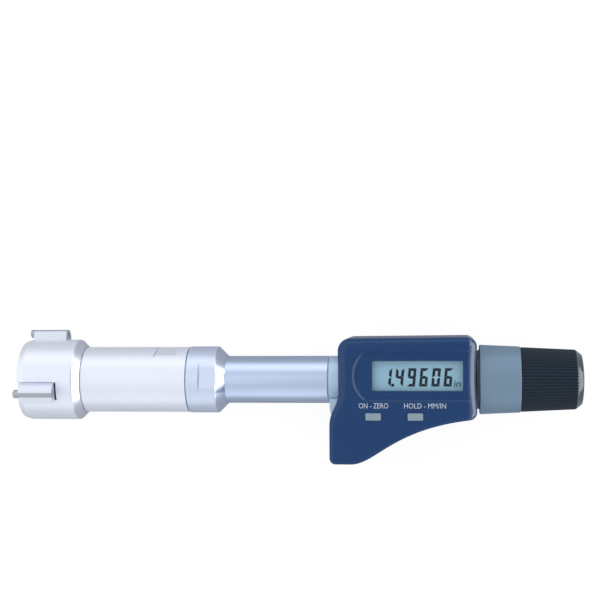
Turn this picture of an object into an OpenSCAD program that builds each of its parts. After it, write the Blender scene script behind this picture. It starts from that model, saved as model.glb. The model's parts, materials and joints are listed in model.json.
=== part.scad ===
// Digital three-point inside micrometer, lying on the back of its display housing.
// The tool axis runs along X, the display faces +Z, the head points to -X.

/* [Measuring head] */
// Diameter of the head
head_d = 29.5; // [29.2:0.1:29.8]
// Length of the head, chamfers included
head_len = 22.9; // [22.6:0.1:24.5]
// Axial length of the head's front chamfer
head_front_chamfer_len = 2.2; // [1.5:0.1:2.3]
// Radial depth of the head's front chamfer
head_front_chamfer_depth = 0.8; // [0.4:0.1:1]
// Size of the head's 45 degree rear chamfer
head_rear_chamfer = 2.4; // [2:0.1:2.6]
// Radius of the bore that takes the cone's wide end
head_bore_r = 9.6; // [9.5:0.1:9.9]
// Radius of the narrow bore at the head's front
head_nose_bore_r = 6.5; // [6:0.1:6.8]
// Radius of the front plate
front_plate_r = 11.4; // [11:0.1:11.6]
// Thickness of the front plate
front_plate_t = 1.3; // [1.1:0.1:1.6]
// Shank radius of the front plate's screws
plate_screw_r = 0.8; // [0.7:0.05:0.9]
// Head radius of the front plate's screws
plate_screw_head_r = 1.5; // [1.3:0.1:1.6]
// Radius of the circle of plate screws
plate_screw_circle_r = 9; // [8.8:0.1:9.2]

/* [Jaws] */
// Radius of the contact circle as shown
contact_r = 19; // [18.8:0.1:19.2]
// Angle of the top jaw about the axis, from +Y towards +Z
jaw_angle = -15.8; // [-20:0.1:-10]
// Width of a jaw
jaw_w = 6.55; // [6.2:0.05:6.8]
// Length of a jaw along the axis
jaw_len = 12.4; // [12.1:0.1:12.7]
// Depth of a jaw from its crest to its underside
jaw_depth = 10.5; // [10.2:0.1:10.8]
// Depth of a jaw from its crest to the front of its foot
jaw_reach = 13.1; // [12.9:0.1:13.3]
// Length of the jaw's foot along the axis
foot_len = 2; // [1.8:0.1:2.2]
// Width of the jaw's foot
foot_w = 4; // [3.4:0.1:4.2]
// Drop of the jaw's shoulders below its crest
jaw_shoulder_drop = 1.35; // [1:0.05:1.6]
// Radius of the contact rod
rod_r = 1.5; // [1.3:0.05:1.6]
// Height of the contact rod above the jaw's crest
rod_proud = 0.15; // [0.1:0.05:0.3]
// Length of the contact rod in front of its jaw
rod_overhang = 2; // [1.9:0.1:2.3]
// Play at the closed end of a jaw's slot
slot_end_play = 0.4; // [0.3:0.1:0.6]
// Wire radius of the garter spring round the jaws
garter_wire_r = 0.4; // [0.3:0.05:0.45]
// Distance from a jaw's front to the garter spring
garter_setback = 3.8; // [3.6:0.1:4]
// Height of the garter spring above a jaw's underside
garter_rise = 1.6; // [1.5:0.05:1.7]

/* [Cone and push rod] */
// Half angle of the measuring cone
cone_half_angle = 45; // [44:0.5:46]
// Radius of the cone's tip
cone_tip_r = 1.6; // [1.4:0.1:1.7]
// Radius of the cone's wide end
cone_big_r = 9; // [8.95:0.05:9.2]
// Length of the cylindrical land behind the cone
cone_land = 1; // [0.8:0.1:1.4]
// Radius of the cone's shank
shank_r = 7; // [6.5:0.1:7.4]
// Length of the cone's shank
shank_len = 18; // [17:0.5:20]
// Radius of the push rod
push_rod_r = 3.5; // [3.3:0.1:3.6]
// Length of the push rod inside the cone
push_rod_grip = 6; // [5:0.5:8]
// Radius of the push rod's spring collar
push_collar_r = 5.8; // [5.6:0.1:6]
// Length of the push rod's spring collar
push_collar_len = 3; // [2:0.5:4]
// Radius of the thrust ball
ball_r = 2; // [1.8:0.1:2.2]
// Wire radius of the return spring
return_wire_r = 0.5; // [0.4:0.05:0.55]
// Coil radius of the return spring, to the wire's middle
return_coil_r = 4.9; // [4.7:0.1:5]
// Length of the return spring as shown
return_spring_len = 22.6; // [21:0.2:24]
// Travel of the spindle towards the head from the position shown
feed_forward = 1; // [0.8:0.1:1]
// Travel of the spindle away from the head from the position shown
feed_back = 4; // [3:0.5:4]

/* [Sleeve and coupling] */
// Diameter of the head's sleeve
sleeve_d = 23.9; // [23.5:0.1:24]
// Length of the sleeve that shows
sleeve_len = 39.1; // [37:0.1:42]
// Length of the sleeve's thread in the head
sleeve_spigot_len = 6; // [5.5:0.1:6]
// Radius of the sleeve's thread in the head
sleeve_spigot_r = 11; // [10.8:0.1:11.2]
// Length of the sleeve's threaded neck
neck_len = 7; // [6:0.5:8]
// Depth of the sleeve's spanner flats
sleeve_flat_depth = 0.8; // [0.5:0.05:0.9]
// Length of the sleeve's spanner flats
sleeve_flat_len = 8; // [6:0.5:10]
// Distance from the start of the sleeve's flats to the coupling nut
sleeve_flat_start = 12.5; // [11:0.1:14]
// Angle of the sleeve's spanner flats, from +Z towards +Y
sleeve_flat_angle = 72; // [60:1:85]
// Step up from the sleeve to the coupling nut
nut_step = 0.2; // [0.1:0.05:0.4]
// Length of the coupling nut
nut_len = 13.8; // [13:0.1:15]
// Width of the coupling nut's end face round the barrel
nut_lip = 0.3; // [0.2:0.05:0.5]
// Share of the space between barrel and nut that the barrel's flange takes
flange_share = 0.34; // [0.3:0.01:0.4]
// Thickness of the coupling nut's inner shoulder
nut_shoulder_t = 3.8; // [3.5:0.1:4]
// Depth of the nut's spanner flats
nut_flat_depth = 0.6; // [0.4:0.05:0.8]
// Distance from the nut's joint to its spanner flats
nut_flat_start = 4.5; // [4:0.1:5]
// Angle of the nut's spanner flats, from +Z towards +Y
nut_flat_angle = 6; // [0:1:15]

/* [Barrel] */
// Diameter of the barrel
barrel_d = 17.2; // [17:0.1:17.4]
// Length of the barrel that shows
barrel_len = 37.5; // [36:0.5:42]
// Radius of the barrel's spring bore
spring_bore_r = 6.3; // [6.2:0.1:6.5]
// Length of the barrel's spring bore
spring_bore_len = 34; // [33:0.5:36]
// Radius of the barrel's thread in the frame
barrel_spigot_r = 7; // [6.6:0.1:7.2]
// Length of the barrel's thread in the frame
barrel_spigot_len = 8; // [7.6:0.1:8.2]
// Chamfer at the joint between barrel and collar
joint_chamfer = 0.3; // [0.2:0.05:0.4]

/* [Housing] */
// Length of the housing beside the thimble
housing_len = 49; // [48.6:0.2:51]
// Height of the tool axis above the housing's back
axis_h = 14.75; // [14.75:0.05:15]
// Depth of the housing from the axis to its front face
housing_front = 16; // [16:0.1:17]
// Height of the housing above the axis at its head end
housing_top = 15.4; // [15.2:0.1:16.5]
// Rise of the housing's top edge towards the thimble
top_rise = 0.3; // [0:0.05:0.5]
// Depth of the housing below the axis at its thimble end
housing_bottom = 13.5; // [13.4:0.1:14.5]
// Slope of the lower edge at its thimble end
bottom_slope = 7; // [4:0.5:9]
// Depth of the grip lobe below the axis
lobe_depth = 29.2; // [29:0.1:30.5]
// Overhang of the grip lobe past the housing's head end
lobe_overhang = 3; // [2.8:0.1:3.3]
// Length of the flat under the grip lobe
lobe_flat = 7.4; // [7:0.1:8]
// Radius of the housing's upper corner at the head end
corner_top_head = 4.6; // [4:0.1:5]
// Radius of the housing's upper corner at the thimble end
corner_top_thimble = 3.4; // [3.1:0.1:4]
// Radius of the housing's lower corner at the thimble end
corner_low_thimble = 3; // [2.7:0.1:3.4]
// Radius of the grip lobe's corner
corner_lobe = 2.2; // [2.1:0.1:2.6]
// Edge radius of the front face at the top
front_fillet = 3.2; // [2.8:0.1:3.2]
// Edge radius of the front face at the thimble end
front_fillet_thimble = 2.4; // [2:0.1:2.6]
// Edge radius of the front face under the grip lobe
front_fillet_low = 1.4; // [1:0.1:1.6]
// Edge radius of the back face
rear_fillet = 1.5; // [1:0.1:1.6]
// Hollow of the housing's face at the thimble end
end_hollow = 0.4; // [0.2:0.05:0.5]
// Wall of the two covers
wall = 1.8; // [1.6:0.05:1.9]
// Length of the frame's collar that shows
collar_len = 3.9; // [3.6:0.1:4.4]
// Half height of the frame block
block_half_h = 9.8; // [9.6:0.1:10]
// Height of the frame block above the axis
block_top = 8.6; // [8.4:0.1:8.8]
// Thickness of the frame block's web
block_web = 2.4; // [2:0.1:2.5]
// Length of the frame block's end that takes the barrel
block_head_len = 12.5; // [12.2:0.1:13]
// Length of the frame block's end that takes the inner sleeve
block_thimble_len = 8; // [7:0.5:8.5]
// Distance from the frame block to the housing's thimble end
block_end_gap = 8.5; // [8.3:0.1:8.8]
// Half thickness of the frame's chin below the collar
chin_half_t = 6; // [5:0.1:6.5]
// Depth of the frame's chin below the axis
chin_depth = 13.6; // [13:0.1:14]
// Shank radius of the cover screws
cover_screw_r = 1; // [0.8:0.05:1.1]
// Head radius of the cover screws
cover_screw_head_r = 1.9; // [1.7:0.1:2]
// Radius of the bosses for the cover screws
cover_boss_r = 2.2; // [2.1:0.05:2.3]
// Inset of the upper cover screws from the housing's ends
cover_screw_inset = 4.4; // [4.2:0.1:5]

/* [Display] */
// Distance from the housing's head end to the display window
window_left = 12.25; // [12:0.05:12.5]
// Distance from the display window to the housing's thimble end
window_right = 4.95; // [4.6:0.05:5.2]
// Height of the display window
window_h = 10.5; // [10:0.1:11]
// Middle of the display window above the axis
window_y = 2.1; // [1.8:0.1:2.4]
// Depth of the recessed display panel
panel_recess = 0.7; // [0.5:0.05:0.9]
// Height of the recessed display panel
panel_h = 17.1; // [16:0.1:18]
// Radius of the panel's round end
panel_end_r = 10.5; // [10:0.1:11.5]
// Distance from the panel's round end to the housing's head end
panel_start = 5.6; // [5.2:0.1:6]
// Depth of the window below the panel
window_sink = 0.2; // [0.1:0.05:0.3]
// Width of the window's hidden rim
window_rim = 1; // [0.8:0.1:1.2]
// Thickness of the window's hidden rim
window_rim_t = 0.8; // [0.6:0.05:0.9]
// Thickness of the liquid crystal panel
lcd_t = 1.5; // [1.3:0.1:1.6]
// Wall of the panel's holder
lcd_holder_wall = 0.65; // [0.5:0.05:0.7]
// Height of the strips between panel and board
lcd_strip_h = 1; // [0.9:0.1:1.2]
// Thickness of the circuit board
board_t = 1; // [0.8:0.1:1.2]
// Shank radius of the board's screws
board_screw_r = 0.7; // [0.6:0.05:0.8]
// Distance of the board's upper screw from the housing's head end
board_screw_left = 5.2; // [5:0.1:5.4]
// Distance of the board's lower screw from the housing's thimble end
board_screw_right = 14; // [13:0.2:15]

/* [Buttons] */
// Length of a button
button_w = 5; // [4.8:0.1:5.4]
// Width of a button
button_h = 2.15; // [2:0.05:2.5]
// Middle of the set button along the axis
set_button_x = -11.9; // [-12.3:0.1:-11.5]
// Middle of the unit button along the axis
unit_button_x = 2.9; // [2.5:0.1:3.3]
// Middle of the buttons below the axis
button_drop = 12.2; // [12:0.1:12.4]
// Height of a button above the front face
button_proud = 0.5; // [0.4:0.05:0.6]
// Width of a button's hidden flange
button_flange = 0.7; // [0.5:0.05:0.8]
// Thickness of a button's hidden flange
button_flange_t = 0.9; // [0.7:0.05:1]
// Travel of a button
button_travel = 0.5; // [0.4:0.05:0.5]
// Length of the switch under a button
switch_w = 4; // [3.6:0.1:4.2]
// Width of the switch under a button
switch_d = 3.2; // [3:0.1:3.4]

/* [Battery] */
// Radius of the button cell
battery_r = 5.8; // [5.7:0.05:5.9]
// Height of the button cell
battery_t = 5.4; // [5.2:0.1:5.5]
// Middle of the cell from the lobe's end
battery_inset = 11.2; // [11:0.1:11.5]
// Middle of the cell below the axis
battery_drop = 19; // [18.8:0.1:19.3]
// Radius of the battery cap
cap_r = 6.4; // [6.3:0.05:6.5]
// Thickness of the battery cap
cap_t = 2.5; // [2.3:0.1:2.7]
// Thickness of the battery cap's seal
seal_t = 0.4; // [0.3:0.05:0.5]
// Thickness of the battery contacts
contact_t = 0.3; // [0.25:0.05:0.4]

/* [Spindle and encoder] */
// Radius of the spindle
spindle_r = 3; // [2.9:0.05:3.1]
// Radius of the spindle's screw thread
screw_r = 3.5; // [3.4:0.05:3.6]
// Outer radius of the spindle's front bush
bush_r = 5; // [4.8:0.1:5.2]
// Length of the spindle's front bush
bush_len = 6.5; // [6:0.1:6.8]
// Radius of the inner sleeve
inner_sleeve_r = 6.8; // [6.6:0.1:7]
// Radius of the inner sleeve's threaded end
inner_end_r = 6; // [5.8:0.1:6.2]
// Radius of the inner sleeve's collar under the thimble's skirt
skirt_collar_r = 10.6; // [10.3:0.1:10.7]
// Length of the inner sleeve's collar
skirt_collar_len = 5.8; // [5:0.1:5.9]
// Radius of the adjusting nut
adjusting_nut_r = 8.6; // [8.2:0.1:8.8]
// Length of the adjusting nut
adjusting_nut_len = 5; // [4:0.2:5.2]
// Radius of the encoder discs
disc_r = 8.4; // [8.2:0.1:8.5]
// Thickness of the encoder discs
disc_t = 1.1; // [0.9:0.1:1.2]
// Radius of the encoder hub
hub_r = 4.4; // [4.3:0.05:4.6]
// Length of the encoder hub
hub_len = 10; // [9:0.5:10.5]
// Width of the spindle's keyway
keyway_w = 1.2; // [1.1:0.05:1.3]
// Depth of the spindle's keyway
keyway_depth = 0.9; // [0.8:0.05:1]

/* [Thimble and knob] */
// Gap between housing and thimble as shown
thimble_gap = 1.1; // [1.1:0.05:1.3]
// Front diameter of the thimble
thimble_d = 25; // [24.8:0.1:25.2]
// Rear diameter of the thimble
thimble_rear_d = 23.7; // [23.5:0.1:23.9]
// Length of the thimble
thimble_len = 14.5; // [14:0.1:15.5]
// Wall of the thimble
thimble_wall = 1.3; // [1.2:0.05:1.4]
// Thickness of the thimble's end wall
thimble_end_t = 3; // [2.8:0.1:3.2]
// Radius of the thimble's boss inside the knob
boss_r = 6; // [5.8:0.1:6.2]
// Length of the thimble's boss
boss_len = 12; // [11.5:0.1:12.5]
// Gap between thimble and knob
knob_gap = 0.2; // [0.2:0.05:0.3]
// Front diameter of the knob
knob_d = 23.2; // [23:0.1:23.4]
// Diameter of the knob where its dome starts
knob_rear_d = 21.35; // [21:0.05:21.6]
// Length of the knob's ribbed part
knob_len = 19.2; // [18.6:0.1:20]
// Height of the knob's dome
dome_h = 3.1; // [2.6:0.1:3.4]
// Number of ribs on the knob
rib_count = 60; // [48:1:72]
// Depth of the grooves between the ribs
rib_depth = 0.4; // [0.3:0.05:0.45]
// Radius of the knob's hollow
knob_hollow_r = 9; // [8.8:0.1:9.2]
// Length of the knob's bush
knob_bush_len = 4; // [3.5:0.1:4.5]
// Thickness of the friction washer
washer_t = 1; // [0.8:0.1:1.2]
// Length of the friction spring
friction_spring_len = 5; // [4.5:0.1:5.2]
// Wire radius of the friction spring
friction_wire_r = 0.45; // [0.35:0.05:0.5]
// Thickness of the friction spring's seat
spring_seat_t = 1.6; // [1.4:0.1:1.8]

/* [Fits] */
// Radial play of turning and sliding round parts
run_fit = 0.04; // [0.03:0.01:0.06]
// Radial play of screwed and seated parts
seat_fit = 0.02; // [0.02:0.01:0.03]
// Side play of a jaw in its slot
slot_fit = 0.06; // [0.05:0.01:0.08]
// Play of a button in its hole
button_fit = 0.12; // [0.1:0.01:0.15]
// Gap between faces that pass each other
pass_gap = 0.3; // [0.25:0.05:0.35]
// Gap between a jaw's foot and the cone
cone_gap = 0.05; // [0.04:0.01:0.06]

/* [Hidden] */
$fn = 96;
eps = 0.01;

// Colours as the photo shows them
satin = [0.88, 0.90, 0.95];
steel = [0.78, 0.82, 0.88];
carbide = [0.58, 0.62, 0.66];
dark_steel = [0.45, 0.48, 0.52];
blue = [0.16, 0.26, 0.43];
thimble_grey = [0.49, 0.59, 0.68];
knob_black = [0.13, 0.16, 0.20];
pale_grey = [0.62, 0.66, 0.68];
lcd_green = [0.53, 0.66, 0.72];
brass = [0.78, 0.66, 0.38];
board_green = [0.10, 0.35, 0.22];
rubber_black = [0.10, 0.10, 0.11];

// Coupling between the sleeve and the barrel
nut_d = sleeve_d + 2 * nut_step;
nut_wall = (nut_d - barrel_d) / 2;
nut_chamfer = nut_wall - nut_lip;
neck_r = barrel_d / 2 + flange_share * nut_wall;
sleeve_flats = sleeve_d - 2 * sleeve_flat_depth;
nut_flats = nut_d - 2 * nut_flat_depth;

// Display window
window_w = housing_len - window_left - window_right;
window_x = (window_left - window_right) / 2;

// Stations along the axis
x_left = -housing_len / 2;
x_right = housing_len / 2;
x_collar = x_left - collar_len;
x_nut_end = x_collar - barrel_len;
x_nut = x_nut_end - nut_len;
x_head_rear = x_nut - sleeve_len;
x_head = x_head_rear - head_len;
x_plate = x_head + front_plate_t;
x_jaw = x_head + rod_overhang;
x_jaw_end = x_jaw + jaw_len;
x_slot_end = x_jaw_end + slot_end_play;
x_foot = x_jaw_end - foot_len;
x_neck_end = x_nut + neck_len;
x_flange_end = x_nut_end - nut_shoulder_t;
x_spigot_end = x_collar + barrel_spigot_len;
x_bay = x_left + block_head_len;
x_block_end = x_right - block_end_gap;
x_bay_end = x_block_end - block_thimble_len;
x_thimble = x_right + thimble_gap;
x_thimble_end = x_thimble + thimble_len;
x_boss_end = x_thimble_end + boss_len;
x_knob = x_thimble_end + knob_gap;
x_dome = x_knob + knob_len;

// Cone and rod stations
slope = tan(cone_half_angle);
foot_r = contact_r - jaw_reach;
cone_foot_r = foot_r - cone_gap / cos(cone_half_angle);
x_tip = x_foot - (cone_foot_r - cone_tip_r) / slope;
x_big = x_foot + (cone_big_r - cone_foot_r) / slope;
x_land_end = x_big + cone_land;
x_shank_end = x_land_end + shank_len;
x_guide = x_land_end + feed_back + 1;
x_guide_end = x_shank_end + feed_back + 1;
bush_start = x_bay - bush_len;
x_rod_end = bush_start - feed_back - 1;
pocket_depth = 0.75 * ball_r;
x_ball = x_rod_end - pocket_depth + ball_r;
x_spindle = x_ball + ball_r + cone_gap;
x_push_collar = x_neck_end + return_spring_len;
x_garter = x_jaw + garter_setback;
garter_r = contact_r - jaw_depth + garter_rise;
garter_slot_w = 4 * garter_wire_r;

// Stations of the encoder
x_hub_end = x_bay_end - 1.5;
x_hub = x_hub_end - hub_len;
x_pin = x_hub + hub_len / 3;

// Stations of the thimble and its sleeve
x_end_wall = x_thimble_end - thimble_end_t;
x_inner_end = x_end_wall - feed_forward - 0.4;
x_screw = x_block_end + 2;
x_skirt_collar = x_right + 0.1;
x_skirt_collar_end = x_skirt_collar + skirt_collar_len;
thimble_taper = (thimble_d - thimble_rear_d) / 2 / thimble_len;
x_tail = x_boss_end + 3;

// Heights inside the housing
z_face = axis_h + housing_front;
z_panel = z_face - panel_recess;
z_inner = z_face - wall;
z_window_rim = z_inner - window_rim_t;
z_lcd = z_window_rim - lcd_t;
z_board_top = z_lcd - lcd_strip_h;
z_board = z_board_top - board_t;

// Places in the housing
lobe_x = x_left - lobe_overhang;
cell = [lobe_x + battery_inset, -battery_drop];
top_y = housing_top - cover_screw_inset + 1.4;
cover_screw_xy = [[x_left + cover_screw_inset, top_y],
                  [x_right - cover_screw_inset, top_y],
                  [x_right - cover_screw_inset, -housing_bottom + 3.3],
                  [lobe_x + 3.7, -lobe_depth + 3.4]];
frame_screw_xy = [[x_left + block_head_len / 2, 0], [x_bay_end + block_thimble_len / 2, 0]];
board_screw_xy = [[x_left + board_screw_left, 6], [x_right - board_screw_right, -housing_bottom + 2.6]];
lcd_w = window_w + 2;
lcd_h = window_h + 4;
pocket_r = battery_r + 0.15;
pocket_wall = 0.85;
cap_seat_z = cap_t + 0.1 + seal_t;

// Outline of the housing, seen from the display side
function arc(c, r, a0, a1, n) =
    [for (i = [0:n]) let (a = a0 + (a1 - a0) * i / n) c + r * [cos(a), sin(a)]];
function bezier(a, b, c, d, n) =
    [for (i = [1:n - 1]) let (t = i / n, u = 1 - t)
        u * u * u * a + 3 * u * u * t * b + 3 * u * t * t * c + t * t * t * d];
ogee_start = [lobe_x + lobe_flat, -lobe_depth];
ogee_dir = [cos(bottom_slope), sin(bottom_slope)];
ogee_end = [x_right - corner_low_thimble * (1 - sin(bottom_slope)), -housing_bottom];
ogee_len = ogee_end.x - ogee_start.x;
low_centre = ogee_end + corner_low_thimble * [-sin(bottom_slope), cos(bottom_slope)];
end_top = housing_top + top_rise - corner_top_thimble;
end_mid = (low_centre.y + end_top) / 2;
end_half = (end_top - low_centre.y) / 2;
neck_top = [x_left, -3.3];
neck_low = [lobe_x, -16];
neck_pull = 0.5 * (neck_top.y - neck_low.y);
outline = concat(
    arc([lobe_x, -lobe_depth] + corner_lobe * [1, 1], corner_lobe, 180, 270, 6),
    [ogee_start],
    bezier(ogee_start, ogee_start + [0.214 * ogee_len, 0],
           ogee_end - 0.667 * ogee_len * ogee_dir, ogee_end, 18),
    arc(low_centre, corner_low_thimble, bottom_slope - 90, 0, 6),
    [for (k = [-0.6:0.3:0.6]) [x_right - end_hollow * (1 - k * k), end_mid + k * end_half]],
    arc([x_right - corner_top_thimble, end_top], corner_top_thimble, 0, 90, 6),
    arc([x_left + corner_top_head, housing_top - corner_top_head], corner_top_head, 90, 180, 7),
    [neck_top],
    bezier(neck_top, neck_top - [0, neck_pull], neck_low + [0, neck_pull], neck_low, 8),
    [neck_low]);
outline_n = len(outline);

// Inward unit normal at a point of the outline
function unit(v) = v / norm(v);
function side_normal(i) =
    let (a = outline[i % outline_n], b = outline[(i + 1) % outline_n], d = unit(b - a)) [-d.y, d.x];
function inward(i) =
    let (a = side_normal(i + outline_n - 1), b = side_normal(i)) (a + b) / (1 + a * b);
function inset(d) = [for (i = [0:outline_n - 1]) outline[i] + d * inward(i)];

// Edge radius of the front face at a point of the outline
function ease(t) = let (u = min(max(t, 0), 1)) u * u * (3 - 2 * u);
function front_edge(p) =
    let (high = front_fillet + (front_fillet_thimble - front_fillet) * ease(p.x / x_right),
         t = ease((p.y + lobe_depth * 0.72) / (lobe_depth * 0.72)))
    front_fillet_low + (high - front_fillet_low) * t;

// Solid between the parting plane and a rounded face, as stacked rings of the outline.
// The rings run past both planes, which then cut them off flat.
edge_steps = 5;
edge_overrun = 1.15;
module rounded_shell(z_parting, z_end, radii) {
    up = z_end > z_parting ? 1 : -1;
    n = outline_n;
    spare = 1;
    last = 90 * (1 - 1 / edge_steps);
    rise = (edge_overrun - 1) * (1 - sin(last)) / cos(last);
    points = [for (k = [-1:edge_steps], i = [0:n - 1])
        let (a = 90 * k / edge_steps, r = radii[i],
             step_in = k < 0 ? 0 : k == edge_steps ? edge_overrun : 1 - cos(a),
             q = outline[i] + r * step_in * inward(i),
             drop = k == edge_steps ? -rise : 1 - sin(a))
        [q.x, q.y, k < 0 ? z_parting - up * spare : z_end - up * r * drop]];
    rings = edge_steps + 2;
    sides = [for (k = [0:rings - 2], i = [0:n - 1], h = [0, 1])
        let (a = k * n + i, b = k * n + (i + 1) % n, c = b + n, d = a + n)
        h == 0 ? [a, c, b] : [a, d, c]];
    caps = [[for (i = [0:n - 1]) i], [for (i = [n - 1:-1:0]) (rings - 1) * n + i]];
    all_faces = concat(sides, caps);
    faces = up > 0 ? all_faces : [for (f = all_faces) [for (i = [len(f) - 1:-1:0]) f[i]]];
    difference() {
        polyhedron(points, faces);
        for (z = [z_end + up * spare, z_parting - up * spare]) translate([0, 0, z])
            cube([3 * housing_len, 3 * lobe_depth, 2 * spare], center = true);
    }
}

// Helpers on the tool axis
module along() {
    translate([0, 0, axis_h]) rotate([0, 90, 0]) children();
}
module round_bar(x0, x1, r) {
    along() translate([0, 0, x0]) cylinder(h = x1 - x0, r = r);
}
module turned(profile) {
    along() rotate_extrude() polygon([for (p = profile) [p[1], p[0]]]);
}
module ring(x0, x1, r_in, r_out) {
    turned([[x0, r_in], [x1, r_in], [x1, r_out], [x0, r_out]]);
}
module radial(a) {
    translate([0, 0, axis_h]) rotate([a, 0, 0]) children();
}
module flats(x0, x1, across, angle, reach) {
    for (s = [0, 180]) radial(90 - angle + s)
        translate([x0, across / 2, -reach]) cube([x1 - x0, reach, 2 * reach]);
}

// Coil spring along the axis, swept as rings of its wire
coil_sides = 6;
coil_steps = 18;
module coil(x0, x1, coil_r, wire_r, turns) {
    span = x1 - x0 - 2 * wire_r;
    n = turns * coil_steps;
    points = [for (k = [0:n], j = [0:coil_sides - 1])
        let (a = 360 * k / coil_steps, b = 360 * j / coil_sides, r = coil_r + wire_r * cos(b))
        [x0 + wire_r + span * k / n + wire_r * sin(b), r * cos(a), axis_h + r * sin(a)]];
    sides = [for (k = [0:n - 1], j = [0:coil_sides - 1], h = [0, 1])
        let (a = k * coil_sides + j, b = k * coil_sides + (j + 1) % coil_sides,
             c = b + coil_sides, d = a + coil_sides)
        h == 0 ? [a, b, c] : [a, c, d]];
    ends = [[for (j = [coil_sides - 1:-1:0]) j], [for (j = [0:coil_sides - 1]) n * coil_sides + j]];
    polyhedron(points, concat(sides, ends));
}

// Measuring head
module head_body() {
    r = head_d / 2;
    color(satin) difference() {
        turned([[x_head, 0], [x_head, r - head_front_chamfer_depth],
                [x_head + head_front_chamfer_len, r],
                [x_head_rear - head_rear_chamfer, r], [x_head_rear, r - head_rear_chamfer],
                [x_head_rear, 0]]);
        round_bar(x_head - 1, x_plate, front_plate_r + seat_fit);
        round_bar(x_head, x_foot, head_nose_bore_r);
        round_bar(x_foot - foot_len, x_head_rear, head_bore_r);
        round_bar(x_head_rear - sleeve_spigot_len - pass_gap, x_head_rear + 1,
                  sleeve_spigot_r + seat_fit);
        ring(x_garter - garter_slot_w, x_garter + garter_slot_w, head_nose_bore_r - 1,
             garter_r + feed_forward + garter_wire_r + pass_gap);
        for (k = [0:2]) radial(jaw_angle + 120 * k)
            translate([x_head - 1, 0, -jaw_w / 2 - slot_fit])
                cube([x_slot_end - x_head + 1, head_d, jaw_w + 2 * slot_fit]);
        plate_screw_places() round_bar(x_plate - 1, x_garter - 2 * garter_slot_w + pass_gap,
                                       plate_screw_r + seat_fit);
    }
}

module plate_screw_places() {
    for (k = [0:2]) radial(jaw_angle + 60 + 120 * k)
        translate([0, plate_screw_circle_r, -axis_h]) children();
}

plate_head_t = 0.8 * front_plate_t;
plate_screw_sink = 0.1 * plate_head_t;
module head_front_plate() {
    color(steel) difference() {
        round_bar(x_head, x_plate, front_plate_r);
        plate_screw_places() {
            round_bar(x_head - 1, x_plate + 1, plate_screw_r + seat_fit);
            round_bar(x_head - 1, x_head + plate_head_t, plate_screw_head_r + seat_fit);
        }
    }
}

module front_plate_screws() {
    color(dark_steel) plate_screw_places() difference() {
        union() {
            round_bar(x_head + plate_screw_sink, x_head + plate_head_t, plate_screw_head_r);
            round_bar(x_head + plate_screw_sink, x_garter - 2 * garter_slot_w, plate_screw_r);
        }
        translate([x_head - plate_head_t, -plate_screw_head_r, axis_h - plate_screw_r / 4])
            cube([1.5 * plate_head_t, 2 * plate_screw_head_r, plate_screw_r / 2]);
    }
}

module anvil(a) {
    bottom = contact_r - jaw_depth;
    crest = contact_r - rod_proud;
    shoulder = contact_r - jaw_shoulder_drop;
    crest_half = sqrt(rod_r * rod_r - (rod_r - rod_proud) * (rod_r - rod_proud));
    color(steel) radial(a) difference() {
        union() {
            translate([x_jaw, 0, 0]) rotate([90, 0, 90]) linear_extrude(jaw_len)
                polygon([[bottom, -jaw_w / 2], [shoulder, -jaw_w / 2], [crest, -crest_half],
                         [crest, crest_half], [shoulder, jaw_w / 2], [bottom, jaw_w / 2]]);
            translate([0, 0, -foot_w / 2]) linear_extrude(foot_w)
                polygon([[x_foot, foot_r], [x_jaw_end, foot_r + foot_len * slope],
                         [x_jaw_end, bottom + foot_len], [x_foot, bottom + foot_len]]);
        }
        translate([x_jaw - 1, contact_r - rod_r, 0]) rotate([0, 90, 0])
            cylinder(h = jaw_len + 2, r = rod_r + seat_fit);
        translate([x_garter - garter_slot_w / 2, garter_r - 1.2, -jaw_w])
            cube([garter_slot_w, 2, 2 * jaw_w]);
    }
}
module anvil_top() {
    anvil(jaw_angle);
}
module anvil_front() {
    anvil(jaw_angle + 120);
}
module anvil_rear() {
    anvil(jaw_angle + 240);
}

rod_chamfer = 0.3;
module contact_rod(a) {
    color(carbide) radial(a) translate([x_head, contact_r - rod_r, 0]) rotate([0, 90, 0]) {
        cylinder(h = rod_chamfer, r1 = rod_r - rod_chamfer, r2 = rod_r);
        translate([0, 0, rod_chamfer]) cylinder(h = rod_overhang + jaw_len - rod_chamfer, r = rod_r);
    }
}
module contact_rod_top() {
    contact_rod(jaw_angle);
}
module contact_rod_front() {
    contact_rod(jaw_angle + 120);
}
module contact_rod_rear() {
    contact_rod(jaw_angle + 240);
}

module jaw_ring_spring() {
    color(dark_steel) along() translate([0, 0, x_garter])
        rotate_extrude() translate([garter_r, 0]) circle(r = garter_wire_r, $fn = 24);
}

// Cone, push rod and return spring
module measuring_cone() {
    color(steel) difference() {
        turned([[x_tip, 0], [x_tip, cone_tip_r], [x_big, cone_big_r], [x_land_end, cone_big_r],
                [x_land_end, shank_r], [x_shank_end, shank_r], [x_shank_end, 0]]);
        round_bar(x_shank_end - push_rod_grip - pass_gap, x_shank_end + 1, push_rod_r + seat_fit);
    }
}

module push_rod() {
    color(steel) difference() {
        union() {
            round_bar(x_shank_end - push_rod_grip, x_rod_end, push_rod_r);
            round_bar(x_push_collar, x_push_collar + push_collar_len, push_collar_r);
        }
        round_bar(x_rod_end - pocket_depth, x_rod_end + 1, ball_r + seat_fit);
    }
}

module thrust_ball() {
    color(dark_steel) translate([x_ball, 0, axis_h]) sphere(r = ball_r);
}

module return_spring() {
    color(dark_steel) coil(x_neck_end, x_push_collar, return_coil_r, return_wire_r, 9);
}

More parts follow.
